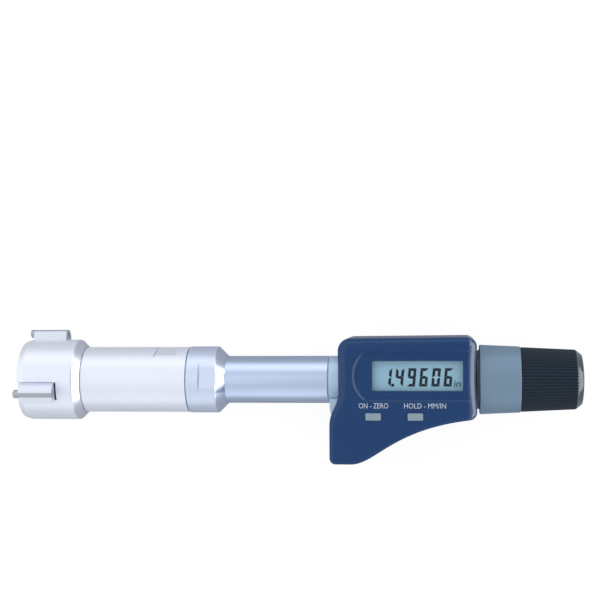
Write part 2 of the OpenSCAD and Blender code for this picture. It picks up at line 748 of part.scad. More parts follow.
// Sleeve, coupling and barrel
sleeve_flat_x = x_nut - sleeve_flat_start;
module head_sleeve() {
    r = sleeve_d / 2;
    undercut = 0.4;
    color(satin) difference() {
        turned([[x_head_rear - sleeve_spigot_len, 0], [x_head_rear - sleeve_spigot_len, sleeve_spigot_r],
                [x_head_rear, sleeve_spigot_r], [x_head_rear, r - undercut],
                [x_head_rear + undercut, r - undercut], [x_head_rear + undercut, r],
                [x_nut - joint_chamfer, r], [x_nut, r - joint_chamfer], [x_nut, neck_r],
                [x_neck_end, neck_r], [x_neck_end, 0]]);
        round_bar(x_head_rear - sleeve_spigot_len - 1, x_guide, cone_big_r + pass_gap);
        round_bar(x_guide - 1, x_guide_end, shank_r + run_fit);
        round_bar(x_guide_end - 1, x_nut, push_rod_r + 2 * pass_gap);
        round_bar(x_nut - 1, x_neck_end + 1, push_rod_r + run_fit);
        flats(sleeve_flat_x, sleeve_flat_x + sleeve_flat_len, sleeve_flats, sleeve_flat_angle, sleeve_d);
    }
}

module coupling_nut() {
    r = nut_d / 2;
    color(steel) difference() {
        turned([[x_nut, 0], [x_nut, r - joint_chamfer], [x_nut + joint_chamfer, r],
                [x_nut_end - nut_chamfer, r], [x_nut_end, r - nut_chamfer], [x_nut_end, 0]]);
        round_bar(x_nut - 1, x_flange_end, neck_r + seat_fit);
        round_bar(x_flange_end - 1, x_nut_end + 1, barrel_d / 2 + seat_fit);
        flats(x_nut + nut_flat_start, x_nut_end + 1, nut_flats, nut_flat_angle, nut_d);
    }
}

module barrel() {
    r = barrel_d / 2;
    color(steel) difference() {
        turned([[x_neck_end, 0], [x_neck_end, neck_r - seat_fit], [x_flange_end, neck_r - seat_fit],
                [x_flange_end, r], [x_collar - joint_chamfer, r], [x_collar, r - joint_chamfer],
                [x_collar, barrel_spigot_r], [x_spigot_end, barrel_spigot_r], [x_spigot_end, 0]]);
        round_bar(x_neck_end - 1, x_neck_end + spring_bore_len, spring_bore_r);
        round_bar(x_neck_end, x_spigot_end + 1, push_rod_r + run_fit);
    }
}

// Frame inside the housing
module chin(grow) {
    translate([0, 0, axis_h - chin_half_t - grow]) linear_extrude(2 * (chin_half_t + grow))
        polygon([[x_collar + joint_chamfer - grow, -barrel_d / 2 + 2], [x_left + wall + 1, -barrel_d / 2 + 2],
                 [x_left + wall + 1, -chin_depth - grow], [lobe_x + 0.2 - grow, -chin_depth - grow],
                 [x_collar + joint_chamfer - grow, -barrel_d / 2 - 1.4]]);
}

module frame_block() {
    z0 = wall;
    r = barrel_d / 2;
    h = block_half_h;
    x_in = x_left + wall + pass_gap;
    color(steel) difference() {
        union() {
            translate([x_in, -h, z0]) cube([x_block_end - x_in, 2 * h, axis_h + block_top - z0]);
            turned([[x_collar, 0], [x_collar, r - joint_chamfer], [x_collar + joint_chamfer, r],
                    [x_in + 1, r], [x_in + 1, 0]]);
            chin(0);
        }
        translate([x_bay, -h - 1, z0 + block_web]) cube([x_bay_end - x_bay, 2 * h + 2, axis_h + block_top]);
        round_bar(x_collar - 1, x_spigot_end + pass_gap, barrel_spigot_r + seat_fit);
        round_bar(x_collar, bush_start, push_rod_r + 2 * pass_gap);
        round_bar(bush_start, x_bay + 1, bush_r + seat_fit);
        round_bar(x_bay, x_block_end + 1, inner_sleeve_r + seat_fit);
        for (p = frame_screw_xy) translate([p.x, p.y, z0 - 1])
            cylinder(h = frame_screw_depth + 1, r = cover_screw_r + seat_fit);
    }
}

frame_screw_depth = 4;
screw_head_t = 1.2;
screw_sink = 0.2;
module countersunk_screw(p, depth) {
    translate([p.x, p.y, screw_sink]) difference() {
        union() {
            cylinder(h = screw_head_t, r = cover_screw_head_r);
            cylinder(h = depth - screw_sink, r = cover_screw_r);
        }
        for (a = [0, 90]) rotate([0, 0, a]) translate([-0.75 * cover_screw_head_r, -0.25, -1])
            cube([1.5 * cover_screw_head_r, 0.5, 1.6]);
    }
}
module screw_hole(p) {
    translate([p.x, p.y, -1]) {
        cylinder(h = screw_sink + screw_head_t + 1, r = cover_screw_head_r + seat_fit);
        cylinder(h = axis_h + 2, r = cover_screw_r + seat_fit);
    }
}

module frame_screws() {
    color(dark_steel) for (p = frame_screw_xy) countersunk_screw(p, wall + frame_screw_depth - pass_gap);
}

cover_screw_bite = 7;
module cover_screws() {
    color(dark_steel) for (p = cover_screw_xy) countersunk_screw(p, axis_h + cover_screw_bite);
}

// Housing covers
module panel_shape() {
    y0 = window_y - panel_h / 2;
    x_arc = x_left + panel_start + panel_end_r;
    half = asin(panel_h / 2 / panel_end_r);
    polygon(concat(arc([x_arc, window_y], panel_end_r, 180 - half, 180 + half, 16),
                   [[x_right + 1, y0], [x_right + 1, y0 + panel_h]]));
}

module button_shape(x, grow) {
    translate([x - button_w / 2 - grow, -button_drop - button_h / 2 - grow])
        square([button_w + 2 * grow, button_h + 2 * grow]);
}

module window_shape(grow) {
    translate([window_x - window_w / 2 - grow, window_y - window_h / 2 - grow])
        square([window_w + 2 * grow, window_h + 2 * grow]);
}

module axis_openings() {
    round_bar(x_collar, x_left + wall + 1, barrel_d / 2 + pass_gap / 3);
    round_bar(x_right - 2 * wall, x_right + 1, inner_sleeve_r + pass_gap);
    chin(pass_gap / 3);
}

module front_cover() {
    radii = [for (p = outline) front_edge(p)];
    boss_h = z_inner - axis_h;
    color(blue) difference() {
        union() {
            difference() {
                rounded_shell(axis_h, z_face, radii);
                translate([0, 0, axis_h - 1]) linear_extrude(boss_h + 1) polygon(inset(wall));
            }
            for (p = cover_screw_xy) translate([p.x, p.y, axis_h]) cylinder(h = boss_h + eps, r = cover_boss_r);
            for (p = board_screw_xy) translate([p.x, p.y, z_board_top])
                cylinder(h = z_inner - z_board_top + eps, r = 2.2 * board_screw_r);
        }
        translate([0, 0, z_panel]) linear_extrude(wall) panel_shape();
        translate([0, 0, z_inner - 1]) linear_extrude(2 * wall) window_shape(seat_fit);
        for (x = [set_button_x, unit_button_x])
            translate([0, 0, z_inner - 1]) linear_extrude(2 * wall) button_shape(x, button_fit);
        for (p = cover_screw_xy) translate([p.x, p.y, axis_h - 1])
            cylinder(h = cover_screw_bite + 1 + pass_gap, r = cover_screw_r + seat_fit);
        for (p = board_screw_xy) translate([p.x, p.y, z_board_top - 1])
            cylinder(h = 1 + board_screw_bite + pass_gap, r = board_screw_r + seat_fit);
        axis_openings();
    }
}

module rear_cover() {
    radii = [for (p = outline) rear_fillet];
    color(blue) difference() {
        union() {
            difference() {
                rounded_shell(axis_h, 0, radii);
                translate([0, 0, wall]) linear_extrude(axis_h) polygon(inset(wall));
            }
            for (p = cover_screw_xy) translate([p.x, p.y, wall - eps])
                cylinder(h = axis_h - wall + eps, r = cover_boss_r);
            translate([cell.x, cell.y, wall - eps]) cylinder(h = battery_t, r = pocket_r + pocket_wall);
        }
        for (p = cover_screw_xy) screw_hole(p);
        for (p = frame_screw_xy) screw_hole(p);
        translate([cell.x, cell.y, -1]) cylinder(h = 1 + cap_seat_z, r = cap_r + run_fit);
        translate([cell.x, cell.y, cap_seat_z - 1]) cylinder(h = axis_h, r = pocket_r);
        translate([cell.x - 1.6, cell.y, cap_seat_z]) cube([3.2, pocket_r + pocket_wall + 1, axis_h]);
        axis_openings();
    }
}

// Display and electronics
module display_window() {
    color([0.85, 0.92, 0.95, 0.35]) union() {
        translate([0, 0, z_window_rim]) linear_extrude(window_rim_t) window_shape(window_rim);
        translate([0, 0, z_inner - eps]) linear_extrude(z_panel - window_sink - z_inner + eps) window_shape(0);
    }
}

module lcd_outline(grow) {
    translate([window_x - lcd_w / 2 - grow, window_y - lcd_h / 2 - grow])
        square([lcd_w + 2 * grow, lcd_h + 2 * grow]);
}

module lcd_panel() {
    color(lcd_green) translate([0, 0, z_lcd]) linear_extrude(lcd_t) lcd_outline(0);
}

module lcd_holder() {
    color(rubber_black) translate([0, 0, z_board_top]) linear_extrude(lcd_strip_h + lcd_t) difference() {
        lcd_outline(lcd_holder_wall);
        lcd_outline(0.05);
    }
}

module lcd_connectors() {
    strip_w = 1.6;
    color(rubber_black) for (s = [-1, 1])
        translate([window_x - lcd_w / 2 + 1, window_y + s * (lcd_h / 2 - strip_w) - strip_w / 2, z_board_top])
            cube([lcd_w - 2, strip_w, lcd_strip_h]);
}

module circuit_board() {
    board_low = battery_drop + 3;
    color(board_green) difference() {
        translate([0, 0, z_board]) linear_extrude(board_t) intersection() {
            polygon(inset(wall + 0.4));
            translate([lobe_x, -board_low]) square([2 * housing_len, board_low + housing_top]);
        }
        for (p = cover_screw_xy) translate([p.x, p.y, z_board - 1]) cylinder(h = board_t + 2, r = cover_boss_r + pass_gap);
        for (p = board_screw_xy) translate([p.x, p.y, z_board - 1]) cylinder(h = board_t + 2, r = board_screw_r + 0.1);
    }
}

board_screw_bite = 2.4;
board_screw_head_t = 0.8;
module board_screws() {
    color(dark_steel) for (p = board_screw_xy) translate([p.x, p.y, z_board - board_screw_head_t]) {
        cylinder(h = board_screw_head_t, r = 2 * board_screw_r);
        cylinder(h = board_screw_head_t + board_t + board_screw_bite, r = board_screw_r);
    }
}

z_button_low = z_inner - 0.05 - button_flange_t;
module button_switches() {
    switch_top = z_button_low - button_travel - 0.1;
    color(dark_steel) for (x = [set_button_x, unit_button_x]) translate([x, -button_drop, z_board_top]) {
        translate([-switch_w / 2, -switch_d / 2, 0]) cube([switch_w, switch_d, (switch_top - z_board_top) * 0.6]);
        cylinder(h = switch_top - z_board_top, r = switch_w / 4);
    }
}

module button(x) {
    color(pale_grey) union() {
        translate([0, 0, z_button_low]) linear_extrude(button_flange_t) button_shape(x, button_flange);
        translate([0, 0, z_button_low]) linear_extrude(z_face + button_proud - z_button_low) button_shape(x, 0);
    }
}
module set_button() {
    button(set_button_x);
}
module unit_button() {
    button(unit_button_x);
}

// Battery
z_cell = cap_seat_z + 0.05;
module battery() {
    step = 0.8;
    color(steel) translate([cell.x, cell.y, z_cell]) {
        cylinder(h = battery_t - step, r = battery_r);
        translate([0, 0, battery_t - step]) cylinder(h = step, r = battery_r - step);
    }
}

module battery_contacts() {
    z_top = z_cell + battery_t + 0.05;
    leg_x = pocket_r + pocket_wall + 0.6;
    color(brass) {
        translate([cell.x - 2, cell.y - 1.5, z_top]) cube([leg_x + 2, 3, contact_t]);
        translate([cell.x + leg_x - contact_t, cell.y - 1.5, z_top]) cube([contact_t, 3, z_board - z_top]);
        translate([cell.x - 1.2, cell.y + battery_r + 0.1, z_cell])
            cube([2.4, contact_t, z_board - z_cell]);
    }
}

module battery_cap() {
    coin_slot = [9, 1.5, 1];
    color(blue) difference() {
        translate([cell.x, cell.y, 0.1]) cylinder(h = cap_t, r = cap_r);
        translate([cell.x - coin_slot.x / 2, cell.y - coin_slot.y / 2, 0.1 - eps]) cube(coin_slot);
    }
}

module battery_seal() {
    color(rubber_black) translate([cell.x, cell.y, cap_seat_z - seal_t]) difference() {
        cylinder(h = seal_t, r = cap_r);
        translate([0, 0, -1]) cylinder(h = seal_t + 2, r = battery_r - 0.6);
    }
}

// Spindle, threaded sleeve and encoder
module spindle_bush() {
    color(brass) ring(bush_start, x_bay, spindle_r + run_fit, bush_r);
}

module spindle() {
    color(steel) difference() {
        turned([[x_spindle, 0], [x_spindle, spindle_r], [x_screw, spindle_r], [x_screw, screw_r],
                [x_end_wall, screw_r], [x_end_wall, spindle_r], [x_tail, spindle_r], [x_tail, 0]]);
        translate([x_pin - feed_back - 3, spindle_r - keyway_depth, axis_h - keyway_w / 2])
            cube([feed_back + feed_forward + 6, spindle_r, keyway_w]);
    }
}

module inner_sleeve() {
    color(steel) difference() {
        turned([[x_hub_end + 0.1, 0], [x_hub_end + 0.1, hub_r], [x_bay_end, hub_r], [x_bay_end, inner_sleeve_r],
                [x_skirt_collar, inner_sleeve_r], [x_skirt_collar, skirt_collar_r],
                [x_skirt_collar_end, skirt_collar_r], [x_skirt_collar_end, inner_sleeve_r],
                [x_inner_end - adjusting_nut_len, inner_sleeve_r],
                [x_inner_end - adjusting_nut_len, inner_end_r], [x_inner_end, inner_end_r], [x_inner_end, 0]]);
        round_bar(x_hub_end - 1, x_screw + 1, screw_r + pass_gap);
        round_bar(x_screw, x_inner_end + 1, screw_r + run_fit);
    }
}

module adjusting_nut() {
    color(dark_steel) difference() {
        ring(x_inner_end - adjusting_nut_len + 0.05, x_inner_end, inner_end_r + seat_fit, adjusting_nut_r);
        for (a = [0, 90]) radial(a) translate([x_inner_end - 1.2, -adjusting_nut_r - 1, -0.8])
            cube([2, 2 * adjusting_nut_r + 2, 1.6]);
    }
}

disc_gap = 0.3;
module rotor_hub() {
    flange_r = hub_r + 1.6;
    x_disc = x_bay_end - disc_t - disc_gap - disc_t;
    color(brass) union() {
        ring(x_hub, x_hub_end, spindle_r + run_fit, hub_r);
        ring(x_disc - 1.6, x_disc, hub_r - 0.1, flange_r);
        translate([x_pin, spindle_r - keyway_depth + 0.2, axis_h])
            rotate([-90, 0, 0]) cylinder(h = hub_r - spindle_r + keyway_depth - 0.6, r = keyway_w / 2 - 0.08);
    }
}

module encoder_rotor() {
    x_disc = x_bay_end - disc_t - disc_gap - disc_t;
    color(board_green) ring(x_disc, x_disc + disc_t, hub_r + seat_fit, disc_r);
}

module rotor_spring() {
    color(dark_steel) coil(x_bay + 0.05, x_hub - 0.02, hub_r - 0.6, 0.35, 4);
}

module encoder_stator() {
    color(board_green) ring(x_bay_end - disc_t, x_bay_end, hub_r + pass_gap, disc_r);
}

// Thimble and friction knob
module thimble() {
    r0 = thimble_d / 2;
    r1 = thimble_rear_d / 2;
    color(thimble_grey) difference() {
        union() {
            turned([[x_thimble, 0], [x_thimble, r0], [x_thimble_end, r1], [x_thimble_end, 0]]);
            round_bar(x_thimble_end - 1, x_boss_end, boss_r);
        }
        turned([[x_thimble - 1, 0], [x_thimble - 1, r0 - thimble_wall], [x_thimble, r0 - thimble_wall],
                [x_end_wall, r1 - thimble_wall + thimble_taper * thimble_end_t], [x_end_wall, 0]]);
        round_bar(x_end_wall - 1, x_boss_end + 1, spindle_r + seat_fit);
    }
}

module thimble_nut() {
    color(dark_steel) difference() {
        ring(x_boss_end, x_tail - 0.4, spindle_r + seat_fit, boss_r - 1);
        radial(30) translate([x_tail - 1.6, -boss_r, -0.6]) cube([2, 2 * boss_r, 1.2]);
    }
}

x_bush_end = x_knob + knob_gap + knob_bush_len;
x_washer_end = x_bush_end + washer_t;
x_seat = x_washer_end + friction_spring_len;
module knob_bush() {
    color(brass) ring(x_knob + knob_gap, x_bush_end, boss_r + run_fit, knob_hollow_r - seat_fit);
}

module friction_washer() {
    color(rubber_black) ring(x_bush_end, x_washer_end, boss_r + pass_gap, knob_hollow_r - pass_gap);
}

module friction_spring() {
    color(dark_steel) coil(x_washer_end + 0.03, x_seat, boss_r + 1.2, friction_wire_r, 4);
}

module spring_seat() {
    color(steel) ring(x_seat, x_seat + spring_seat_t, boss_r + seat_fit, knob_hollow_r - 2 * pass_gap);
}

// Ribs are the lands between straight grooves that follow the knob's taper
module knob() {
    r0 = knob_d / 2;
    r1 = knob_rear_d / 2;
    dome_steps = 8;
    dome = [for (k = [0:dome_steps]) let (a = 90 * k / dome_steps) [x_dome + dome_h * sin(a), r1 * cos(a)]];
    lean = atan((r0 - r1) / knob_len);
    groove_w = 1.4 * rib_depth;
    color(knob_black) difference() {
        turned(concat([[x_knob, 0], [x_knob, r0]], dome));
        round_bar(x_knob - 1, x_dome - knob_gap, knob_hollow_r);
        for (k = [0:rib_count - 1]) radial(360 * k / rib_count)
            translate([x_knob - eps, r0 - rib_depth, 0]) rotate([0, 0, -lean]) rotate([90, 0, 90])
                translate([0, 0, -1]) linear_extrude(knob_len + 3)
                    polygon([[0, 0], [2 * rib_depth, -groove_w], [2 * rib_depth, groove_w]]);
    }
}

head_body();
head_front_plate();
front_plate_screws();
anvil_top();
anvil_front();
anvil_rear();
contact_rod_top();
contact_rod_front();
contact_rod_rear();
jaw_ring_spring();
measuring_cone();
push_rod();
thrust_ball();
return_spring();
head_sleeve();
coupling_nut();
barrel();
frame_block();
frame_screws();
front_cover();
rear_cover();
cover_screws();
display_window();
lcd_panel();
lcd_holder();
lcd_connectors();
circuit_board();
board_screws();
button_switches();
set_button();
unit_button();
battery();
battery_contacts();
battery_cap();
battery_seal();
spindle_bush();
spindle();
inner_sleeve();
adjusting_nut();
rotor_hub();
encoder_rotor();
rotor_spring();
encoder_stator();
thimble();
thimble_nut();
knob_bush();
friction_washer();
friction_spring();
spring_seat();
knob();
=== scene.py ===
"""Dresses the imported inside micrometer: finished pieces, procedural finishes, studio and camera."""

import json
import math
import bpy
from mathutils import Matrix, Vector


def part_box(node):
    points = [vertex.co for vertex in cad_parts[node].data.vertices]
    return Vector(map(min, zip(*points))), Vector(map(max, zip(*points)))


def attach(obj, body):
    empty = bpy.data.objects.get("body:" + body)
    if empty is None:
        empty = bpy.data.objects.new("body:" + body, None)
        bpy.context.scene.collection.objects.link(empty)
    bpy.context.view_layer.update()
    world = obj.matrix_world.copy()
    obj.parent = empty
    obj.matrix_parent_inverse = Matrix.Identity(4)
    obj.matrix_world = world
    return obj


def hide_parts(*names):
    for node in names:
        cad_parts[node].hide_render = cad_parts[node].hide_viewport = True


bl_info = {
    "name": "Inside Micrometer",
    "version": (1, 0, 0),
    "blender": (4, 5, 0),
    "location": "View3D > Sidebar > Micrometer",
    "description": "Finished pieces, finishes and studio for the packed inside micrometer",
    "category": "Object",
}

import bmesh
import bpy
from bpy.props import FloatProperty, FloatVectorProperty, IntProperty, PointerProperty, StringProperty
from mathutils import Matrix, Vector

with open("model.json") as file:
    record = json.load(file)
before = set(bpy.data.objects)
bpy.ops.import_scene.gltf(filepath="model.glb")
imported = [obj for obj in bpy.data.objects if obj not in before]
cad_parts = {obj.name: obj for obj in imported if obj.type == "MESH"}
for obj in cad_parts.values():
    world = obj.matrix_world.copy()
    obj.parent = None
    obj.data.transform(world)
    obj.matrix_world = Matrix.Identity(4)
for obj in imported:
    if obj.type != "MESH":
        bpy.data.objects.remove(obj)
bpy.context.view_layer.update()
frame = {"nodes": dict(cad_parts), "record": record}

# Shapes are modelled in millimetres and scaled once, when a piece is added
MM = 0.001


def station(node, end, axis=0):
    """A side of a CAD node's box in millimetres: end 0 is the low side, end 1 the high side."""
    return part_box(node)[end][axis] / MM


# Height of the tool axis and stations along it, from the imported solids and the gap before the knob
AXIS_H = (station("barrel", 0, 2) + station("barrel", 1, 2)) / 2
X_HEAD, X_HEAD_END = station("head_body", 0), station("head_body", 1)
X_SLEEVE, X_NECK_END = station("head_sleeve", 0), station("head_sleeve", 1)
X_NUT, X_NUT_END = station("coupling_nut", 0), station("coupling_nut", 1)
X_COLLAR = station("frame_block", 0)
X_BARREL_END = station("barrel", 1)
X_THIMBLE, X_BOSS_END = station("thimble", 0), station("thimble", 1)
X_KNOB, X_KNOB_END = station("knob", 0), station("knob", 1)
KNOB_GAP = 0.2
X_THIMBLE_END = X_KNOB - KNOB_GAP

# Ends of the housing's long sides, its front face and its display
X_LEFT, X_RIGHT = -24.5, 24.5
Z_FACE = station("front_cover", 1, 2)
Z_LCD = station("lcd_panel", 1, 2)

# The jaws: their ends, slots and garter spring, and the first one's direction in degrees from +Y towards +Z
X_JAW, X_JAW_END = station("anvil_top", 0), station("anvil_top", 1)
X_SLOT_END = X_JAW_END + 0.4
X_GARTER = X_JAW + 3.8
SLOT_HALF = 3.335
JAW_ANGLE = -15.8

# The stretch of the sleeve that guides the cone, and the nut's lip behind the barrel's flange
X_GUIDE_END = station("measuring_cone", 1) + 5.0
X_GUIDE = X_GUIDE_END - 18.0
X_LIP = X_NUT_END - 3.8

# Radii that several pieces share
HEAD_R = (station("head_body", 1, 1) - station("head_body", 0, 1)) / 2
BARREL_R = 8.6
ROD_BORE = 3.54


def colour_setting(name, description, default):
    """A colour that a user can change."""
    return FloatVectorProperty(name=name, description=description, subtype="COLOR", default=default,
                               min=0, max=1)


class MicrometerLook(bpy.types.PropertyGroup):
    """Sizes and colours that a user would change."""

    steel_colour: colour_setting("Head steel", "Satin chromed head and sleeve", (0.86, 0.90, 1.0))
    tube_colour: colour_setting("Tube steel", "Barrel", (0.60, 0.71, 0.92))
    nut_colour: colour_setting("Nut steel", "Coupling nut", (0.70, 0.78, 0.96))
    jaw_colour: colour_setting("Jaw steel", "Ground steel of the three jaws", (0.76, 0.80, 0.90))
    frame_colour: colour_setting("Frame lacquer", "Collar and chin of the cast frame", (0.56, 0.72, 0.88))
    housing_colour: colour_setting("Housing", "Moulded covers and battery cap", (0.004, 0.042, 0.145))
    thimble_colour: colour_setting("Thimble", "Grey anodised thimble", (0.19, 0.285, 0.39))
    knob_colour: colour_setting("Knob", "Black ribbed knob", (0.010, 0.021, 0.037))
    button_colour: colour_setting("Buttons", "Pale grey push buttons", (0.26, 0.34, 0.39))
    display_colour: colour_setting("Display", "Lit ground of the display", (0.34, 0.57, 0.71))
    edge_ease: FloatProperty(
        name="Edge easing", description="Rounding of the machined edges", unit="LENGTH",
        default=0.00015, min=0.00005, max=0.0003, precision=5)
    moulded_ease: FloatProperty(
        name="Moulded easing", description="Rounding of the moulded edges", unit="LENGTH",
        default=0.00025, min=0.0001, max=0.0005, precision=5)
    turn_steps: IntProperty(
        name="Turning steps", description="Facets round a turned piece", default=144, min=48, max=256)
    reading: StringProperty(
        name="Reading", description="Number on the display, in inches, for 38 mm between the contacts",
        default="1.49606")
    light_level: FloatProperty(
        name="Light level", description="Strength of the studio's sky", default=1.0, min=0, max=2)


def look():
    """The scene's settings for the micrometer."""
    return bpy.context.scene.micrometer_look


# Shader maths


class Wire:
    """A node socket that Python's operators turn into Math nodes."""

    def __init__(self, shop, socket):
        self.shop = shop
        self.socket = socket

    def maths(self, operation, first, second):
        """A Math node on two numbers or sockets."""
        return self.shop.node("ShaderNodeMath", {"operation": operation}, {0: first, 1: second})

    def __add__(self, other):
        return self.maths("ADD", self, other)

    def __sub__(self, other):
        return self.maths("SUBTRACT", self, other)

    def __rsub__(self, other):
        return self.maths("SUBTRACT", other, self)

    def __mul__(self, other):
        return self.maths("MULTIPLY", self, other)

    __radd__ = __add__
    __rmul__ = __mul__


class Workshop:
    """Builds one node tree."""

    def __init__(self, tree):
        self.tree = tree
        self.tree.nodes.clear()

    def node(self, kind, settings=None, sockets=None, out=0):
        """Adds a node, sets its settings, then its sockets by name or number, and returns an output."""
        made = self.tree.nodes.new(kind)
        for key, value in (settings or {}).items():
            setattr(made, key, value)
        for key, value in (sockets or {}).items():
            if isinstance(value, Wire):
                self.tree.links.new(value.socket, made.inputs[key])
            else:
                made.inputs[key].default_value = value
        return Wire(self, made.outputs[out]) if made.outputs else None

    def grain(self, scale, stretch=(1, 1, 1), detail=3.0):
        """Noise on object coordinates, in grains a metre, finer along an axis by its part of stretch."""
        place = self.node("ShaderNodeTexCoord", out="Object")
        spread = self.node("ShaderNodeMapping", None, {"Vector": place, "Scale": stretch})
        return self.node("ShaderNodeTexNoise", None, {"Vector": spread, "Scale": scale, "Detail": detail})

    def along(self):
        """The station along the tool, in metres."""
        place = self.node("ShaderNodeTexCoord", out="Object")
        return self.node("ShaderNodeSeparateXYZ", None, {"Vector": place}, out="X")

    def blend(self, factor, first, second):
        """Mixes two colours."""
        return self.node("ShaderNodeMix", {"data_type": "RGBA"}, {0: factor, 6: first, 7: second}, out=2)

    def bump(self, height, strength, distance):
        """A normal that follows a height."""
        return self.node("ShaderNodeBump", None,
                         {"Height": height, "Strength": strength, "Distance": distance})


def rgba(colour, scale):
    """A colour made darker or lighter by a scale."""
    return (*(part * scale for part in colour), 1.0)


# Finishes: the cloud's grains a metre, the fine grain's share in the colour, the relief in metres,
# and how far a bright cut calms the relief
CLOUD_GRAIN = 60
FINE_SHARE = 0.55
RELIEF_DEPTH = 0.00004
CUT_CALM = 0.85

# Grain that runs round a turned piece, and level on a ground one
TURNED = (40, 1, 1)
GROUND = (1, 1, 14)

# Stretches along the tool: bright cuts with their roughness, and polishes
HEAD_CUT = (X_HEAD_END - 2.6, X_HEAD_END + 0.1, 0.3)
NUT_CUT = (X_NUT_END - 3.3, X_NUT_END + 0.1, 0.2)
HOUSING_POLISH = (X_RIGHT - 3.2, X_RIGHT - 2.6)
KNOB_POLISH = (X_KNOB + 19.1, X_KNOB + 19.4)

FINISHES = {}


def finish(name, colour, rough=0.4, metal=0.0, grain=2500, stretch=(1, 1, 1), tone=0.06, rough_swing=0.06,
           relief=0.02, coat=0.0, coat_ior=1.5, gloss=0.5, alpha=1.0, polish=None, bright=None):
    """A procedural finish: fine grain moves its colour, roughness and relief, a slow cloud its colour.

    The coat rises to full between the two stations of polish. Bright is a stretch along the tool with a
    smoother, fully metallic cut, as two stations and its roughness. Stations are in millimetres.
    """
    material = bpy.data.materials.new(name)
    material.use_nodes = True
    shop = Workshop(material.node_tree)
    fine = shop.grain(grain, stretch)
    cloud = shop.grain(CLOUD_GRAIN, detail=2.0)
    mask = fine * FINE_SHARE + cloud * (1 - FINE_SHARE)
    tint = shop.blend(mask, rgba(colour, 1 - tone), rgba(colour, 1 + tone))
    satin = fine * (2 * rough_swing) + (rough - rough_swing)
    height = fine
    if polish:
        start, end = polish
        coat = shop.node("ShaderNodeMapRange", None,
                         {"Value": shop.along(), "From Min": start * MM, "From Max": end * MM,
                          "To Min": coat, "To Max": 1.0})
    if bright:
        start, end, smooth = bright
        along = shop.along()
        inside = along.maths("GREATER_THAN", along, start * MM) * along.maths("LESS_THAN", along, end * MM)
        satin = satin - inside * (rough - smooth)
        metal = inside * (1 - metal) + metal
        height = fine - fine * inside * CUT_CALM
    shader = shop.node("ShaderNodeBsdfPrincipled", None, {
        "Base Color": tint, "Roughness": satin, "Metallic": metal, "Coat Weight": coat, "Coat IOR": coat_ior,
        "Specular IOR Level": gloss, "Alpha": alpha, "Normal": shop.bump(height, relief, RELIEF_DEPTH)})
    shop.node("ShaderNodeOutputMaterial", None, {"Surface": shader})
    FINISHES[name] = material


def make_finishes():
    """One finish for each of the record's slots, and those of the nut, the jaws and the printing inks."""
    s = look()
    turned = {"grain": 110, "stretch": TURNED}
    satin = {**turned, "tone": 0.03, "rough_swing": 0.05, "relief": 0.05}
    ground = {"grain": 180, "stretch": GROUND, "tone": 0.04}
    finish("satin_steel", s.steel_colour, rough=0.4, metal=0.5, bright=HEAD_CUT, **satin)
    finish("tube_steel", s.tube_colour, rough=0.32, metal=1.0, **satin)
    finish("nut_steel", s.nut_colour, rough=0.4, metal=0.75, bright=NUT_CUT, **satin)
    finish("jaw_steel", s.jaw_colour, rough=0.32, metal=1.0, **ground)
    finish("frame_metal", s.frame_colour, rough=0.5, metal=0.75, grain=3500, tone=0.04, relief=0.05)
    finish("carbide", (0.42, 0.46, 0.50), rough=0.34, metal=1.0, tone=0.04, **turned)
    finish("bright_steel", (0.58, 0.63, 0.70), rough=0.36, metal=1.0, **ground)
    # Dark steel: the hidden inner parts' own dark steel, and also painted shade where the inner sleeve's
    # collar shows in the gap between the housing and the thimble
    finish("dark_steel", (0.10, 0.11, 0.12), rough=0.42, metal=1.0, grain=1500)
    finish("housing_blue", s.housing_colour, rough=0.28, grain=3200, tone=0.05, rough_swing=0.05, relief=0.06,
           coat=0.12, coat_ior=1.7, gloss=0.25, polish=HOUSING_POLISH)
    finish("thimble_grey", s.thimble_colour, rough=0.5, metal=0.35, grain=3600, relief=0.10)
    finish("knob_black", s.knob_colour, rough=0.36, grain=2600, tone=0.08, relief=0.06, coat_ior=1.8,
           gloss=0.25, polish=KNOB_POLISH)
    finish("button_grey", s.button_colour, grain=2800, tone=0.04, relief=0.05, gloss=0.3)
    finish("window_clear", (0.15, 0.18, 0.20), rough=0.08, grain=400, tone=0.02, rough_swing=0.02,
           relief=0.0, alpha=0.03)
    finish("lcd_green", s.display_colour, rough=0.3, grain=900, tone=0.03, relief=0.01, gloss=0.15)
    finish("brass", (0.62, 0.46, 0.20), rough=0.35, metal=1.0, tone=0.05, **turned)
    finish("board_green", (0.02, 0.12, 0.06), grain=1200, tone=0.15)
    finish("rubber_black", (0.012, 0.012, 0.013), rough=0.6, grain=2000, tone=0.15)
    finish("label_white", (0.58, 0.64, 0.71), rough=0.5, grain=3000, tone=0.03)
    finish("segment_ink", (0.010, 0.018, 0.030), rough=0.5, tone=0.10, gloss=0.1)


# Mesh helpers: the angle in degrees that counts as an edge, the distances that count as touching and as
# one point, and the facets round a cutter
EDGE_ANGLE = 28
TOUCH = 0.01
MERGE = 0.0005
ROUND_STEPS = 96


def add_piece(name, bm, finish_name, body, slot=None, replaces=()):
    """Turns a bmesh in millimetres into a piece that rides on a body."""
    bmesh.ops.scale(bm, vec=(MM, MM, MM), verts=bm.verts)
    mesh = bpy.data.meshes.new(name)
    bm.to_mesh(mesh)
    bm.free()
    for polygon in mesh.polygons:
        polygon.use_smooth = True
    mesh.materials.append(FINISHES[finish_name])
    piece = bpy.data.objects.new(name, mesh)
    bpy.context.collection.objects.link(piece)
    even = piece.modifiers.new("Even normals", "WEIGHTED_NORMAL")
    even.keep_sharp = True
    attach(piece, body)
    slot or finish_name
    if replaces:
        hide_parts(*replaces)


def clean(bm):
    """Merges doubles and turns the faces outwards."""
    bmesh.ops.remove_doubles(bm, verts=bm.verts, dist=MERGE)
    bmesh.ops.recalc_face_normals(bm, faces=bm.faces)
    return bm


